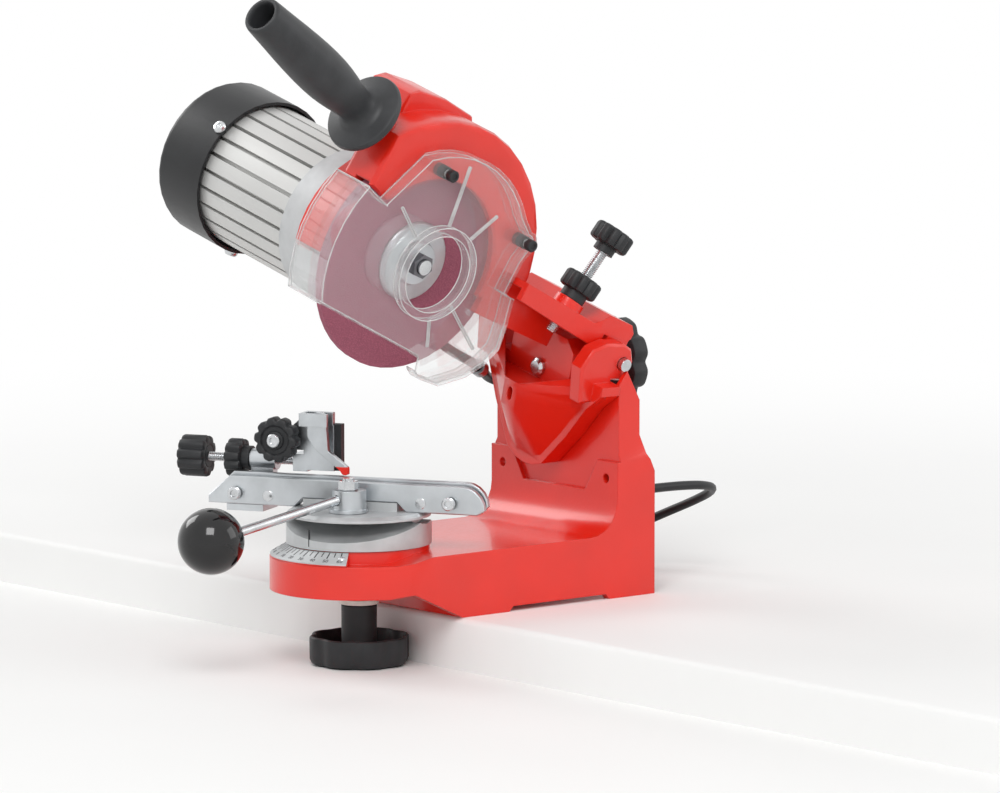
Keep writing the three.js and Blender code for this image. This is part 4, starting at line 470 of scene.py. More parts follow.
def seen_in_any_way(tree):
    """Small network: 1 for what the camera sees, also mirrored or through a clear piece, and 0 for light."""
    path = add(tree, "ShaderNodeLightPath")
    plain, mirrored, through = (path.outputs[f"Is {way} Ray"] for way in ("Camera", "Glossy", "Transmission"))
    seen = add(tree, "ShaderNodeMath", {0: plain, 1: mirrored}, operation="MAXIMUM")
    return add(tree, "ShaderNodeMath", {0: seen, 1: through}, operation="MAXIMUM")


def pale_floor():
    """Matt painted board: almost white, with soft shadows, and lost in the white room further away."""
    made, tree, place = blank("pale_matt_floor")
    if tree is None:
        return made
    cloud = add(tree, "ShaderNodeTexNoise", {"Vector": place, "Scale": per(400), "Detail": 2.0})
    tone = add(tree, "ShaderNodeValToRGB", {"Fac": cloud}, [(0.3, linear("F3F3F2")), (0.7, linear("F7F7F6"))])
    matt = add(tree, "ShaderNodeBsdfPrincipled", {
        "Base Color": tone, "Roughness": 0.6, "Specular IOR Level": 0.2})
    white = add(tree, "ShaderNodeEmission", {"Color": (1, 1, 1, 1), "Strength": 1.0})
    away = add(tree, "ShaderNodeVectorMath", {0: place}, operation="LENGTH")
    far = add(tree, "ShaderNodeMapRange", {
        "Value": away.outputs["Value"], "From Min": 0.3, "From Max": 1.3}, interpolation_type="SMOOTHSTEP")
    share = add(tree, "ShaderNodeMath", {0: seen_in_any_way(tree), 1: far}, operation="MULTIPLY")
    return close(made, tree, add(tree, "ShaderNodeMixShader", {0: share, 1: matt, 2: white}))


# Meshes


def modifier_group(name):
    """Empty modifier group, with the socket of the geometry that it is given."""
    made = bpy.data.node_groups.new(name, "GeometryNodeTree")
    for way in ("INPUT", "OUTPUT"):
        made.interface.new_socket("Geometry", in_out=way, socket_type="NodeSocketGeometry")
    return made, add(made, "NodeGroupInput").outputs[0]


def folded_more(tree, degrees):
    """Small network that picks the edges that fold by more than an angle."""
    fold = add(tree, "GeometryNodeInputMeshEdgeAngle")
    return add(tree, "FunctionNodeCompare", {0: fold, 1: radians(degrees)},
               data_type="FLOAT", operation="GREATER_THAN")


def smoothing():
    """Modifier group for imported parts: joins split corners and smooths round faces but no real edges."""
    name = "smooth_round_faces"
    if name in bpy.data.node_groups:
        return bpy.data.node_groups[name]
    made, part = modifier_group(name)
    bare = add(made, "GeometryNodeRemoveAttribute", {"Geometry": part, "Name": "custom_normal"})
    whole = add(made, "GeometryNodeMergeByDistance", {"Geometry": bare, "Distance": 0.00001})
    smooth = add(made, "GeometryNodeSetShadeSmooth", {0: whole, "Shade Smooth": True}, domain="FACE")
    edges = add(made, "GeometryNodeSetShadeSmooth", {
        0: smooth, "Selection": folded_more(made, PACKED_CREASE), "Shade Smooth": False}, domain="EDGE")
    add(made, "NodeGroupOutput", {0: edges})
    return made


def bright_edges():
    """Modifier group for the clear guard: lays a fine pale bead along each sharp edge, a painted highlight
    for the light that the edges gather.
    """
    made, part = modifier_group("beads_on_sharp_edges")
    lines = add(made, "GeometryNodeMeshToCurve", {0: part, "Selection": folded_more(made, HIGHLIGHT_BEAD_CREASE)})
    section = add(made, "GeometryNodeCurvePrimitiveCircle", {"Resolution": 8, "Radius": sizes().bead_radius})
    beads = add(made, "GeometryNodeCurveToMesh", {0: lines, 1: section, "Fill Caps": True})
    finished = add(made, "GeometryNodeSetMaterial", {0: beads, "Material": polished_guard_edge()})
    both = add(made, "GeometryNodeJoinGeometry", {0: part})
    made.links.new(finished.outputs[0], both.inputs[0])
    add(made, "NodeGroupOutput", {0: both})
    return made


def dress(material, *names):
    """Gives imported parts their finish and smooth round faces."""
    for name in names:
        part = nodes[name]
        if not part.material_slots:
            part.data.materials.append(material)
        for slot in part.material_slots:
            slot.material = material
        part.modifiers.new("round", "NODES").node_group = smoothing()
        flats = part.modifiers.new("flats", "WEIGHTED_NORMAL")
        flats.keep_sharp, flats.weight = True, 90


def new_object(name, data):
    """Object in the scene with this data."""
    made = bpy.data.objects.new(name, data)
    bpy.context.scene.collection.objects.link(made)
    return made


def finished_object(name, shape, place, material):
    """Object from a bmesh drawn in its own frame, smooth but for its real edges."""
    mesh = bpy.data.meshes.new(name)
    shape.to_mesh(mesh)
    shape.free()
    mesh.transform(place)
    mesh.shade_smooth()
    mesh.set_sharp_from_angle(angle=radians(CREASE))
    mesh.materials.append(material)
    return new_object(name, mesh)


def keep(name, shape, place, material, body, replaces=()):
    """Turns a bmesh drawn in its own frame into a piece that rides on a body."""
    bmesh.ops.recalc_face_normals(shape, faces=shape.faces)
    piece = finished_object(name, shape, place, material)
    if body:
        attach(piece, body)
    if replaces:
        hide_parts(*replaces)
    return piece


def polar(radius, angle, height):
    """Point at a radius, an angle in radians and a height."""
    return radius * cos(angle), radius * sin(angle), height


def rings_to_faces(shape, rings):
    """Skins rings of equally many points, or of one point, and closes the first and the last."""
    for low, high in zip(rings, rings[1:]):
        count = max(len(low), len(high))
        for i in range(count):
            k = (i + 1) % count
            corners = [low[i % len(low)], low[k % len(low)], high[k % len(high)], high[i % len(high)]]
            distinct = [c for n, c in enumerate(corners) if c not in corners[:n]]
            if len(distinct) > 2:
                shape.faces.new(distinct)
    for ring in (rings[0], rings[-1]):
        if len(ring) > 2:
            shape.faces.new(ring)


def turned(profile, sides, lobes=0, notch=0.0, power=3):
    """Round form from rings of radius, height and share of the notch; a lobed one dips at each notch."""
    shape = bmesh.new()
    rings = []
    for radius, height, *share in profile:
        if radius == 0:
            rings.append([shape.verts.new((0, 0, height))])
            continue
        ring = []
        for i in range(sides):
            angle = 2 * pi * i / sides
            dip = notch * (share[0] if share else 0) * ((1 + cos(lobes * angle)) / 2) ** power
            ring.append(shape.verts.new(polar(radius - dip, angle, height)))
        rings.append(ring)
    rings_to_faces(shape, rings)
    return shape


def threaded(radius, start, end, pitch, depth=0.75, sides=24, steps=6):
    """Rod with a real thread, chamfered at both ends."""
    shape = bmesh.new()
    count = max(2, round((end - start) / pitch * steps))
    rings = []
    for n in range(count + 1):
        height = start + (end - start) * n / count
        fade = min(1.0, n / steps, (count - n) / steps)
        ring = []
        for i in range(sides):
            phase = (height / pitch - i / sides) % 1
            dip = depth * (1 - abs(2 * phase - 1)) * (0.4 + 0.6 * fade) + (1 - fade) * depth * 0.6
            ring.append(shape.verts.new(polar(radius - dip, 2 * pi * i / sides, height)))
        rings.append(ring)
    rings_to_faces(shape, rings)
    return shape


def between(p, q, low, high, t):
    """Point on a straight line that is at p when t is low, and at q when t is high."""
    return p * ((high - t) / (high - low)) + q * ((t - low) / (high - low))


def smooth_route(points, spacing):
    """Centripetal Catmull-Rom line through the points, with a step of about the spacing."""
    line = [Vector(p) for p in points]
    ends = [2 * line[0] - line[1], *line, 2 * line[-1] - line[-2]]
    found = []
    for p0, p1, p2, p3 in zip(ends, ends[1:], ends[2:], ends[3:]):
        t1 = sqrt((p1 - p0).length)
        t2 = t1 + sqrt((p2 - p1).length)
        t3 = t2 + sqrt((p3 - p2).length)
        steps = max(2, ceil((p2 - p1).length / spacing))
        for n in range(steps):
            t = t1 + (t2 - t1) * n / steps
            middle = between(p1, p2, t1, t2, t)
            before = between(between(p0, p1, 0, t1, t), middle, 0, t2, t)
            after = between(middle, between(p2, p3, t2, t3, t), t1, t3, t)
            found.append(between(before, after, t1, t2, t))
    return [*found, line[-1]]


def drawn(points, radius, sides):
    """Round wire or cord swept along points, closed at both ends."""
    shape = bmesh.new()
    rings = []
    side = None
    for i, point in enumerate(points):
        way = (points[min(i + 1, len(points) - 1)] - points[max(i - 1, 0)]).normalized()
        if side is None:
            side = (UP if abs(way.z) < 0.9 else Vector((1, 0, 0))).cross(way)
        side = (side - way * side.dot(way)).normalized()
        up = way.cross(side)
        rings.append([
            shape.verts.new(point + (side * cos(a) + up * sin(a)) * radius)
            for a in (2 * pi * k / sides for k in range(sides))
        ])
    rings_to_faces(shape, rings)
    return shape


def helix(start, radius, pitch, turns, steps):
    """Middle line of a wire wound along Y round the start."""
    x, y, z = start
    return [
        Vector((x + radius * sin(a), y + pitch * a / (2 * pi), z + radius * cos(a)))
        for a in (2 * pi * i / steps for i in range(turns * steps + 1))
    ]


# Camera and cords


class SHARPENER_OT_camera(bpy.types.Operator):
    """Sets the camera at the viewing angle of the photograph"""
    bl_idname = "sharpener.camera"
    bl_label = "Camera"

    def execute(self, context):
        data = bpy.data.cameras.new("photo_camera")
        data.sensor_width, data.lens = CAMERA["sensor"], CAMERA["lens"]
        data.clip_start, data.clip_end = 0.1, 100
        camera = new_object("photo_camera", data)
        azimuth, elevation = radians(CAMERA["azimuth"]), radians(CAMERA["elevation"])
        flat = cos(elevation)
        back = Vector((sin(azimuth) * flat, -cos(azimuth) * flat, sin(elevation)))
        right = Vector((cos(azimuth), sin(azimuth), 0))
        turn = Matrix((right, back.cross(right), back)).transposed().to_4x4()
        camera.matrix_world = Matrix.Translation(CAMERA["place"]) @ turn
        context.scene.camera = camera
        return {"FINISHED"}


def wound_coil():
    """Coil's middle line: in along the floor, up, out on the second layer, then straight to the plug."""
    layer = COIL["turns"] * COIL["steps"]
    climb, total = COIL["steps"] / 2, int(2 * layer)
    outer = COIL["inner"] + COIL["pitch"] * COIL["turns"]
    low = sizes().cord_radius / MM
    found = [Vector((COIL["x"] + outer, COIL["y"] - 2 * low, low))]
    for n in range(3 * total + 1):
        i = n / 3
        radius = outer - COIL["pitch"] * min(i, total - i) / COIL["steps"]
        x, y, _ = polar(radius, 2 * pi * i / COIL["steps"], 0)
        rise = COIL["rise"] * min(max((i - layer + climb / 2) / climb, 0), 1)
        found.append(Vector((COIL["x"] + x, COIL["y"] + y, low + rise)))
    end = found[-1]
    return [*found, end - Vector((COIL["tail"] / 2, 0, 0)), end - Vector((COIL["tail"], 0, 0))]


class SHARPENER_OT_cords(bpy.types.Operator):
    """Makes the mains cord with its coil, its strain relief and the motor lead"""
    bl_idname = "sharpener.cords"
    bl_label = "Cords"

    def execute(self, context):
        sheath = cord_sheath()
        points = [machine_place @ p for p in [*smooth_route(CORD_ROUTE, 4), *wound_coil()[1:]]]
        line = bpy.data.curves.new("mains_cord_line", "CURVE")
        line.dimensions, line.bevel_depth = "3D", sizes().cord_radius
        line.bevel_resolution, line.use_fill_caps = 3, True
        spline = line.splines.new("POLY")
        spline.points.add(len(points) - 1)
        for corner, point in zip(spline.points, points):
            corner.co = (*point, 1)
        line.materials.append(sheath)
        cord = new_object("mains_cord_run", line)
        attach(cord, "base")
        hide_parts("mains_cord", "mains_cord_coil")
        dress(moulded_black("moulded_pvc_plug", linear("1A1A1C"), 0.8, 0.45), "mains_plug")
        self.relief(sheath)
        self.lead(sheath)
        return {"FINISHED"}

    def relief(self, sheath):
        """Tapered strain relief with a groove in front of each rib"""
        collar, groove = 5.2, 1.3
        profile = [(0, 0), (6.2, 0), (6.2, 4.6)]
        for n in range(6):
            reach = collar + 2.3 * n
            wide = 6 - 0.32 * n
            deep = wide - groove
            profile += [(deep, reach), (deep, reach + 0.7), (wide, reach + 0.9), (wide, reach + 2.1)]
        profile += [(4, 19), (3.6, 20), (0, 20)]
        place = along(machine_place @ Vector(RELIEF_FOOT), (1, 0, 0))
        keep("ribbed_strain_relief", turned(profile, 32), place, sheath, "base",
             ["cord_strain_relief"])

    def lead(self, sheath):
        """Motor lead in two lengths that meet in the clip, where it crosses two joints; neither length is
        attached to a body
        """
        radius = sizes().lead_radius
        whole = [machine_place @ p for p in smooth_route(LEAD_ROUTE, 3)]
        clip = machine_place @ Vector(LEAD_ROUTE[LEAD_CLIP])
        split = min(range(len(whole)), key=lambda i: (whole[i] - clip).length)
        runs = (
            ("motor_lead_upper", whole[:split + 1], "tilt_frame", "head", clip, whole[0], whole[0]),
            ("motor_lead_lower", whole[split:], "base", "tilt_frame", whole[-1], clip, whole[split]),
        )
        for name, points, first, second, start, end, exit_point in runs:
            piece = keep(name, drawn(points, radius, 16), Matrix.Identity(4), sheath, None)
            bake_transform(piece)
            if name == "motor_lead_upper":
                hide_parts("motor_lead")


# Castings and plates


class SHARPENER_OT_castings(bpy.types.Operator):
    """Paints the base, the tilting bracket and the head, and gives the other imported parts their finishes"""
    bl_idname = "sharpener.castings"
    bl_label = "Castings"

    def execute(self, context):
        dress(gloss_enamel(), "base_casting", "tilt_bracket", "head_casting")
        dress(cast_aluminium(), "turntable", "vise_cradle", "motor_end_bell")
        dress(zinc_plate(), "front_rail", "rear_rail", "stop_carrier", "stop_bracket", "clamp_hub",
              "lead_clip", "flange_rear", "flange_front")
        dress(painted_motor(), "stator_body")
        dress(black_cover(), "fan_cover", "cooling_fan")
        dress(black_nylon(), "stop_block", "switch_frame", "terminal_box")
        dress(moulded_black("moulded_gloss_rocker", linear("121214"), 1.5, 0.2, 0.05), "switch_rocker")
        dress(turned_steel(), "swivel_stud", "rail_screw_1", "rail_screw_2", "clamp_post", "clamp_lever_rod",
              "tilt_bolt", "hinge_pin", "motor_shaft", "front_bearing", "rear_bearing")
        dress(oiled_steel(), "arbor_nut", "swivel_bush")
        dress(white_nylon(), "swivel_thrust_ring")
        dress(bonded_corundum(), "grinding_wheel")
        dress(clear_polycarbonate(), "wheel_guard")
        # Pale beads on the guard's sharp edges: a painted highlight
        nodes["wheel_guard"].modifiers.new("bright_edges", "NODES").node_group = bright_edges()
        return {"FINISHED"}


class SHARPENER_OT_pawl(bpy.types.Operator):
    """Cuts the stop's slim pawl: an arm that slants from its pin to the red tip over the jaw"""
    bl_idname = "sharpener.pawl"
    bl_label = "Pawl"

    def execute(self, context):
        shape = bmesh.new()
        half = PAWL["half"]
        outline = [shape.verts.new((PAWL["x"] + u, -half, PAWL["z"] + v)) for u, v in PAWL_OUTLINE]
        grown = bmesh.ops.extrude_face_region(shape, geom=[shape.faces.new(outline)])
        lifted = [item for item in grown["geom"] if isinstance(item, bmesh.types.BMVert)]
        bmesh.ops.translate(shape, verts=lifted, vec=(0, 2 * half, 0))
        corners = [edge for edge in shape.edges if abs((edge.verts[0].co - edge.verts[1].co).y) > half]
        bmesh.ops.bevel(shape, geom=corners, offset=PAWL["rounding"], segments=4, profile=0.5, affect="EDGES")
        keep("bent_pawl", shape, vise_place, dipped_plate(), "pawl", ["stop_pawl"])
        return {"FINISHED"}


# Knobs, handle and ball


def lobed_profile(radius, start, end, hub, hub_end, dish=1.6, outward=1):
    """Moulded hand knob: a hub that ends at hub_end, a rounded lobed rim from start to end, and a dished face
    with a raised middle, which is at the end if outward is 1 and at the start if it is -1."""
    thick = end - start
    back, face = (start, end) if outward > 0 else (end, start)
    lift = copysign(1, face - back)
    soft = min(1.8, thick / 4)
    return [
        (0, hub_end), (hub, hub_end), (hub, back + lift * 0.4), (hub + 0.8, back),
        (radius - soft * 1.2, back, 0.9), (radius - soft * 0.3, back + lift * soft * 0.35, 1),
        (radius, back + lift * soft, 1), (radius, face - lift * soft, 1),
        (radius - soft * 0.3, face - lift * soft * 0.35, 1), (radius - soft, face, 0.9),
        (radius * 0.7, face, 0.35), (radius * 0.66, face - lift * 0.4), (radius * 0.6, face - lift * dish),
        (radius * 0.42, face - lift * dish), (radius * 0.38, face - lift * 0.3), (radius * 0.34, face),
        (0, face),
    ]


class SHARPENER_OT_knobs(bpy.types.Operator):
    """Moulds the lobed knobs, the lock wheels and the cup knob under the table"""
    bl_idname = "sharpener.knobs"
    bl_label = "Knobs"

    def execute(self, context):
        nylon = black_nylon()
        fine = (
            ("stop_adjuster", lobed_profile(13.5, -65.5, -47.5, 7, -47.5, outward=-1), 1.9,
             "stop_screw_turn", "stop_screw_assembly", "stop_screw_knob"),
            ("stop_lock_grip", lobed_profile(12.5, -33.5, -22.5, 8, -17.8, dish=0.6, outward=-1), 1.7,
             "stop_lock_turn", "stop_lock", "stop_lock_wheel"),
            ("stop_clamp_grip", lobed_profile(14.6, -7, 4, 6, 7.2, outward=-1), 2,
             "stop_clamp_turn", "stop_clamp", "stop_clamp_knob"),
            ("depth_adjuster", lobed_profile(13.6, 66, 78, 7, 61), 1.9,
             "depth_knob_turn", "depth_grip", "depth_knob"),
            ("depth_lock_grip", lobed_profile(13, 30, 41.5, 8.5, 24.3, dish=0.6), 1.8,
             "depth_lock_turn", "depth_lock", "depth_lock_wheel"),
        )
        for name, profile, notch, joint, body, node in fine:
            shape = turned(profile, 120, lobes=10, notch=notch)
            keep(name, shape, joint_place(joint), nylon, body, [node])
        clamp_screw = threaded(3, 7.3, 14, sizes().thread_pitch, 0.5)
        keep("stop_clamp_screw", clamp_screw, joint_place("stop_clamp_turn"), turned_steel(), "stop_clamp")
        rear = turned(lobed_profile(28.6, 168.1, 180.5, 12, 163.6, dish=2.6), 144, lobes=8, notch=3.4)
        rear_place = along((0, 0, tilt_height), (1, 0, 0))
        washer = turned([(0, 160.8), (10, 160.8), (10, 164), (0, 164)], 48)
        keep("tilt_grip", rear, rear_place, nylon, "tilt_knob", ["tilt_lock_knob"])
        keep("tilt_grip_washer", washer, rear_place, zinc_plate(), "tilt_knob")
        cup = [
            (0, -22.3), (5.3, -22.3), (5.3, 5), (10.6, 5), (11.4, 4.2), (11.2, -27), (13, -29.4),
            (26, -29.4, 0.3), (28.5, -28.4, 0.7), (29.3, -26, 1), (29.6, -16, 1), (30.2, -15.1, 1),
            (31.4, -15, 1), (32.2, -15.8, 1), (32.3, -18, 1), (32.1, -29.5, 1), (31, -32.2, 0.9),
            (28.6, -33.4, 0.6), (25, -33.6), (0, -33.6),
        ]
        shape = turned(cup, 144, lobes=8, notch=2.2, power=2)
        keep("cup_grip", shape, joint_place("swivel_knob_turn"), nylon, "swivel_knob",
             ["swivel_lock_knob"])
        return {"FINISHED"}


class SHARPENER_OT_grips(bpy.types.Operator):
    """Makes the handle and the clamp lever's ball"""
    bl_idname = "sharpener.grips"
    bl_label = "Handle and Ball"

    def execute(self, context):
        lean = Matrix.Rotation(-radians(90 - HANDLE_RISE), 4, "Y")
        place = head_place @ Matrix.Translation(HANDLE_FOOT) @ lean
        profile = [
            (0, 0), (24.6, 0), (26, 0.7), (26.6, 2), (26.6, 3.4), (26, 5), (24.2, 5.9), (17, 6.6), (14.6, 8),
            (12.8, 10.2), (11.8, 13), (11.9, 17), (12.7, 23), (13.9, 30), (15, 38), (15.7, 46), (16, 55),
            (15.9, 66), (15.5, 76), (14.8, 88), (14, 99), (13.4, 108), (12.9, 116), (12.6, 119.6),
            (12.2, 121.3), (11.4, 122), (10, 122), (9.4, 121.4), (9, 119), (9, 106.2), (0, 106),
        ]
        rubbery = moulded_black("moulded_handle_grip", linear("303133"), 0.8, 0.44)
        keep("handle_moulding", turned(profile, 72), place, rubbery, "head", ["handle_grip"])
        low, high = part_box("clamp_ball_knob")
        centre = (low + high) / 2
        hub = Vector(joints["clamp_lever_turn"]["pos_m"])
        neck = [(0, -19.6), (3.3, -19.6), (5.6, -19.9), (6.4, -20)]
        ball = [
            (BALL_RADIUS * sin(a), -BALL_RADIUS * cos(a))
            for a in (radians(n) for n in range(20, 180, 5))
        ]
        shape = turned([*neck, *ball, (0, BALL_RADIUS)], 64)
        keep("ball_grip", shape, along(centre, centre - hub), polished_phenolic(), "lever",
             ["clamp_ball_knob"])
        return {"FINISHED"}


# Screws and springs


class SHARPENER_OT_screws(bpy.types.Operator):
    """Cuts the threads and makes the screw heads that show"""
    bl_idname = "sharpener.screws"
    bl_label = "Screws"

    def execute(self, context):
        pitch = sizes().thread_pitch
        steel = turned_steel()
        keep("depth_thread", threaded(3.9, 0, 69, pitch), joint_place("depth_knob_turn"), steel, "depth_stop",
             ["depth_screw"])
        keep("stop_thread", threaded(3, -62.5, 25, pitch, 0.6), joint_place("stop_screw_turn"), steel,
             "stop_screw_assembly", ["stop_screw"])
        self.rail_heads(steel)
        self.motor_heads(steel)
        thumb = [
            (0, -4.4), (1.9, -4.4), (2.1, -5.2), (3.4, -5.2), (3.9, -4.6), (3.9, -0.9), (3.6, -0.3),
            (2, -0.3), (2, 2.6), (4.2, 2.6), (4.2, 11.7), (2, 11.7), (2, 16.5), (0, 16.5),
        ]
        for i, (x, z) in enumerate(GUARD_SCREWS["spots"]):
            place = along(head_place @ Vector((x, GUARD_SCREWS["face"], z)), head_y)
            shape = turned(thumb, 36, lobes=12, notch=0.35)
            keep(f"guard_thumbscrew_{i + 1}", shape, place, black_nylon(), "head",
                 [f"guard_screw_{i + 1}"])
        return {"FINISHED"}

    def rail_heads(self, steel):
        """Two socket screws and two rivets on the front rail, and the screw in the clamp knob"""
        outward = vise_place.to_3x3() @ Vector((0, -1, 0))
        socket = [(0, 0.15), (2.1, 0.15), (2.2, 1.2), (3.6, 1.2), (4.2, 0.7), (4.2, 0), (0, 0)]
        rivet = [(0, -0.6), (3.6, -0.6), (3.6, 0.3), (3.2, 0.55), (0, 0.6)]
        heads = (("rail_socket", socket, RAIL_SOCKETS, "vise"), ("rail_rivet", rivet, RAIL_RIVETS, "jaw"))
        for name, profile, spots, body in heads:
            for i, x in enumerate(spots["across"]):
                place = along(vise_place @ Vector((x, spots["face"], spots["height"])), outward)
                keep(f"{name}_{i + 1}", turned(profile, 36), place, steel, body)
        knob_screw = [(0, 0), (4.4, 0), (4.4, 2.3), (3.8, 3), (2.2, 3), (2, 1.6), (0, 1.6)]
        lower = Matrix.Translation((0, 0, -CLAMP_KNOB_FACE))
        face = joint_place("stop_clamp_turn") @ lower @ Matrix.Rotation(pi, 4, "X")
        keep("clamp_knob_screw", turned(knob_screw, 36), face, steel, "stop_clamp")

    def motor_heads(self, steel):
        """Three domed screws round the motor's cover"""
        dome = [(0, -0.1), (4.5, -0.1), (4.5, 1.2), (3.6, 2.6), (1.9, 2.9), (1.8, 2.15), (0, 2.15)]
        for i, angle in enumerate(COVER_SCREWS["angles"]):
            out = Vector((cos(radians(angle)), 0, sin(radians(angle))))
            spot = head_place @ (COVER_SCREWS["radius"] * out + Vector((0, COVER_SCREWS["y"], 0)))
            place = along(spot, head_place.to_3x3() @ out)
            keep(f"cover_screw_{i + 1}", turned(dome, 32), place, steel, "head")


class SHARPENER_OT_springs(bpy.types.Operator):
    """Winds the return spring on the hinge pin and the pawl's spring"""
    bl_idname = "sharpener.springs"
    bl_label = "Springs"

    def execute(self, context):
        steel = turned_steel()
        coil = helix(**RETURN_SPRING)
        leg = [coil[0] - Vector((reach, 0, 0)) for reach in (9, 4)]
        keep("return_spring_wire", drawn([*leg, *coil], 1, 12), bracket_place, steel, "tilt_frame",
             ["return_spring"])
        keep("pawl_spring_wire", drawn(helix(**PAWL_SPRING), 0.4, 8), vise_place, steel, "chain_stop",
             ["pawl_spring"])
        return {"FINISHED"}


# Degree marks on the sector


def sector_slope():
    """Fall of the sector per millimetre outwards."""
    return (SECTOR["inner_top"] - SECTOR["outer_top"]) / (SECTOR["outer"] - SECTOR["inner"])


def sector_height(radius):
    """Height of the land under the sector's plate at a radius."""
    return SECTOR["inner_top"] - (radius - SECTOR["inner"]) * sector_slope()


class SHARPENER_OT_marks(bpy.types.Operator):
    """Makes the sloped sector with its degree marks and plain numbers, and the line on the turntable"""
    bl_idname = "sharpener.marks"
    bl_label = "Degree Marks"

    def execute(self, context):
        ink = stamped_ink()
        self.sector()
        reach, start, thick = MARKS["reach"], MARKS["start"], SECTOR["thick"]
        shape = bmesh.new()
        for n in range(-reach, reach + 1, 5):
            long, half = MARKS["fives"] if n % 10 else MARKS["tens"]
            heights = (thick, thick + MARKS["raised"])
            self.bar(shape, SECTOR["zero"] + n, (start, start + long), half, heights, sloped=True)
        keep("sector_marks", shape, machine_place, ink, "base")
        joined = bmesh.new()
        for n in range(-reach, reach + 1, 10):
            joined.from_mesh(self.number(context, n))
        keep("sector_numbers", joined, Matrix.Identity(4), ink, "base")
        line = bmesh.new()
        self.bar(line, **POINTER)
        keep("turntable_line", line, machine_place, ink, "table")
        return {"FINISHED"}

    def number(self, context, degrees):
        """Mesh of one number, laid on the slope at its mark"""
        text = bpy.data.curves.new("number", "FONT")
        text.body, text.size = str(abs(degrees)), NUMBERS["size"]
        text.align_x, text.align_y, text.extrude = "CENTER", "CENTER", NUMBERS["half_thick"]
        holder = new_object("number", text)
        context.view_layer.update()
        mesh = bpy.data.meshes.new_from_object(holder.evaluated_get(context.evaluated_depsgraph_get()))
        bpy.data.objects.remove(holder)
        angle = radians(SECTOR["zero"] + degrees)
        lift = sector_height(NUMBERS["radius"]) + SECTOR["thick"] + NUMBERS["raised"]
        spot = Matrix.Translation(polar(NUMBERS["radius"], angle, lift))
        spin = Matrix.Rotation(angle + pi / 2, 4, "Z")
        tilt = Matrix.Rotation(atan(sector_slope()), 4, "X")
        mesh.transform(machine_place @ spot @ spin @ tilt)
        return mesh

    def bar(self, shape, degrees, span, half, heights, sloped=False):
        """Block across a span of radii; the heights of a sloped one count from the sector's land"""
        out = Vector(polar(1, radians(degrees), 0))
        side = Vector((-out.y, out.x, 0)) * half
        near, far = span
        loops = [
            [
                shape.verts.new(out * r + side * s + UP * (z + (sector_height(r) if sloped else 0)))
                for r, s in ((near, -1), (far, -1), (far, 1), (near, 1))
            ]
            for z in heights
        ]
        rings_to_faces(shape, loops)

    def sector(self):
        """Sloped plate that faces the operator, its painted land beneath and a rivet at each end"""
        inner, outer, foot, thick = SECTOR["inner"], SECTOR["outer"], SECTOR["foot"], SECTOR["thick"]
        land = [(inner, foot), (outer, foot), (outer, sector_height(outer)), (inner, sector_height(inner))]
        layers = ((inner, 0), (outer, 0), (outer, thick), (inner, thick))
        plate = [(r, sector_height(r) + lift) for r, lift in layers]
        parts = (
            ("sector_land", land, gloss_enamel(), "red_paint", ()),
            ("sloped_sector", plate, cast_aluminium(), "bare_aluminium", ["angle_scale_plate"]),
        )
        for name, section, material, slot, replaced in parts:
            shape = bmesh.new()
            rings = [
                [shape.verts.new(polar(r, a, z)) for r, z in section]
                for a in (radians(n) for n in range(SECTOR["from"], SECTOR["to"] + 1, 2))
            ]
            rings_to_faces(shape, rings)
            keep(name, shape, machine_place, material, "base", replaced)
        middle = (inner + outer) / 2
        out = Vector((sector_slope(), 0, 1)).normalized()
        rivet = [(0, -0.5), (2.2, -0.5), (2.2, 0.4), (1.5, 1), (0, 1.2)]
        for i, n in enumerate((SECTOR["from"] + 4, SECTOR["to"] - 4)):
            turn = Matrix.Rotation(radians(n), 4, "Z")
            spot = machine_place @ (turn @ Vector((middle, 0, sector_height(middle) + thick)))
            keep(f"sector_rivet_{i + 1}", turned(rivet, 24), along(spot, turn @ out), turned_steel(), "base")


# Stage


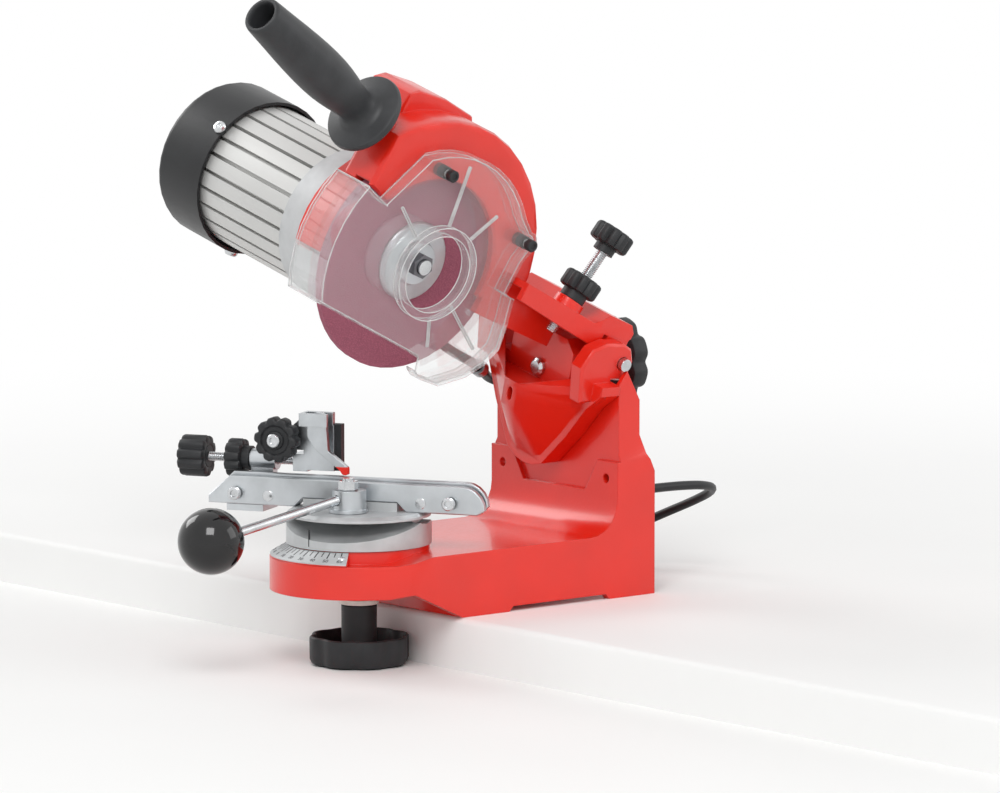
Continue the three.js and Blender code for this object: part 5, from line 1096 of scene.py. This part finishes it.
class SHARPENER_OT_stage(bpy.types.Operator):
    """Lays the pale floor, stepped so that the knob hangs free, and sets soft studio light"""
    bl_idname = "sharpener.stage"
    bl_label = "Stage"

    def execute(self, context):
        floor = self.floor()
        self.world(context)
        self.lamps()
        context.scene.view_settings.view_transform = "Standard"
        return {"FINISHED"}

    def floor(self):
        """Flat board whose front part lies lower, with a rounded edge between the two"""
        edge, soft, reach = FLOOR["edge"], FLOOR["soft"], FLOOR["reach"]
        drop = -sizes().step_height
        lip = [
            (edge + soft - soft * cos(a), -soft + soft * sin(a))
            for a in (radians(n) for n in range(0, 91, 15))
        ]
        section = [(-reach, drop), (edge, drop), *lip, (reach, 0)]
        shape = bmesh.new()
        rows = [[shape.verts.new((x, y, z)) for x, z in section] for y in (-reach, reach)]
        for i in range(len(section) - 1):
            shape.faces.new((rows[0][i], rows[0][i + 1], rows[1][i + 1], rows[1][i]))
        return finished_object("floor", shape, Matrix.Identity(4), pale_floor())

    def world(self, context):
        """White room that lights the object less than it shows"""
        world = bpy.data.worlds.new("soft_white_room")
        world.use_nodes = True
        tree = world.node_tree
        tree.nodes.clear()
        seen = seen_in_any_way(tree)
        level = add(tree, "ShaderNodeMapRange", {"Value": seen, "To Min": 0.55, "To Max": 1.0})
        room = add(tree, "ShaderNodeBackground", {"Color": (1, 1, 1, 1), "Strength": level})
        add(tree, "ShaderNodeOutputWorld", {"Surface": room})
        context.scene.world = world

    def lamps(self):
        """Three square lamps, each with its place and size in metres and its power in watts"""
        middle = Vector((0.02, 0.02, 0.15))
        lamps = (
            ("key", (-1.9, -2.0, 2.6), 1.6, 62),
            ("fill", (2.4, -2.2, 1.5), 1.8, 16),
            ("rim", (-0.6, 2.6, 1.9), 1.4, 26),
        )
        for name, spot, size, power in lamps:
            data = bpy.data.lights.new(name, "AREA")
            data.size, data.energy = size, power
            lamp = new_object(name, data)
            lamp.location = spot
            lamp.rotation_mode = "QUATERNION"
            lamp.rotation_quaternion = (middle - Vector(spot)).to_track_quat("-Z", "Y")


class SHARPENER_PT_panel(bpy.types.Panel):
    """Lists the sharpener's pieces, sizes and colours"""
    bl_idname = "SHARPENER_PT_panel"
    bl_label = "Chainsaw Sharpener"
    bl_space_type = "VIEW_3D"
    bl_region_type = "UI"
    bl_category = "Sharpener"

    def draw(self, context):
        for operator in STEPS:
            self.layout.operator(operator.bl_idname)
        for group in (context.scene.sharpener_sizes, context.scene.sharpener_colours):
            for name in group.__annotations__:
                self.layout.prop(group, name)


STEPS = (
    SHARPENER_OT_camera, SHARPENER_OT_cords, SHARPENER_OT_castings, SHARPENER_OT_pawl, SHARPENER_OT_knobs,
    SHARPENER_OT_grips, SHARPENER_OT_screws, SHARPENER_OT_springs, SHARPENER_OT_marks, SHARPENER_OT_stage,
)
CLASSES = (SharpenerSizes, SharpenerColours, *STEPS, SHARPENER_PT_panel)


def register():
    for item in CLASSES:
        bpy.utils.register_class(item)
    bpy.types.Scene.sharpener_sizes = PointerProperty(type=SharpenerSizes)
    bpy.types.Scene.sharpener_colours = PointerProperty(type=SharpenerColours)


def unregister():
    del bpy.types.Scene.sharpener_sizes
    del bpy.types.Scene.sharpener_colours
    for item in reversed(CLASSES):
        bpy.utils.unregister_class(item)


def main():
    register()
    for step in STEPS:
        getattr(bpy.ops.sharpener, step.bl_idname.split(".")[1])()


if __name__ == "__main__":
    main()
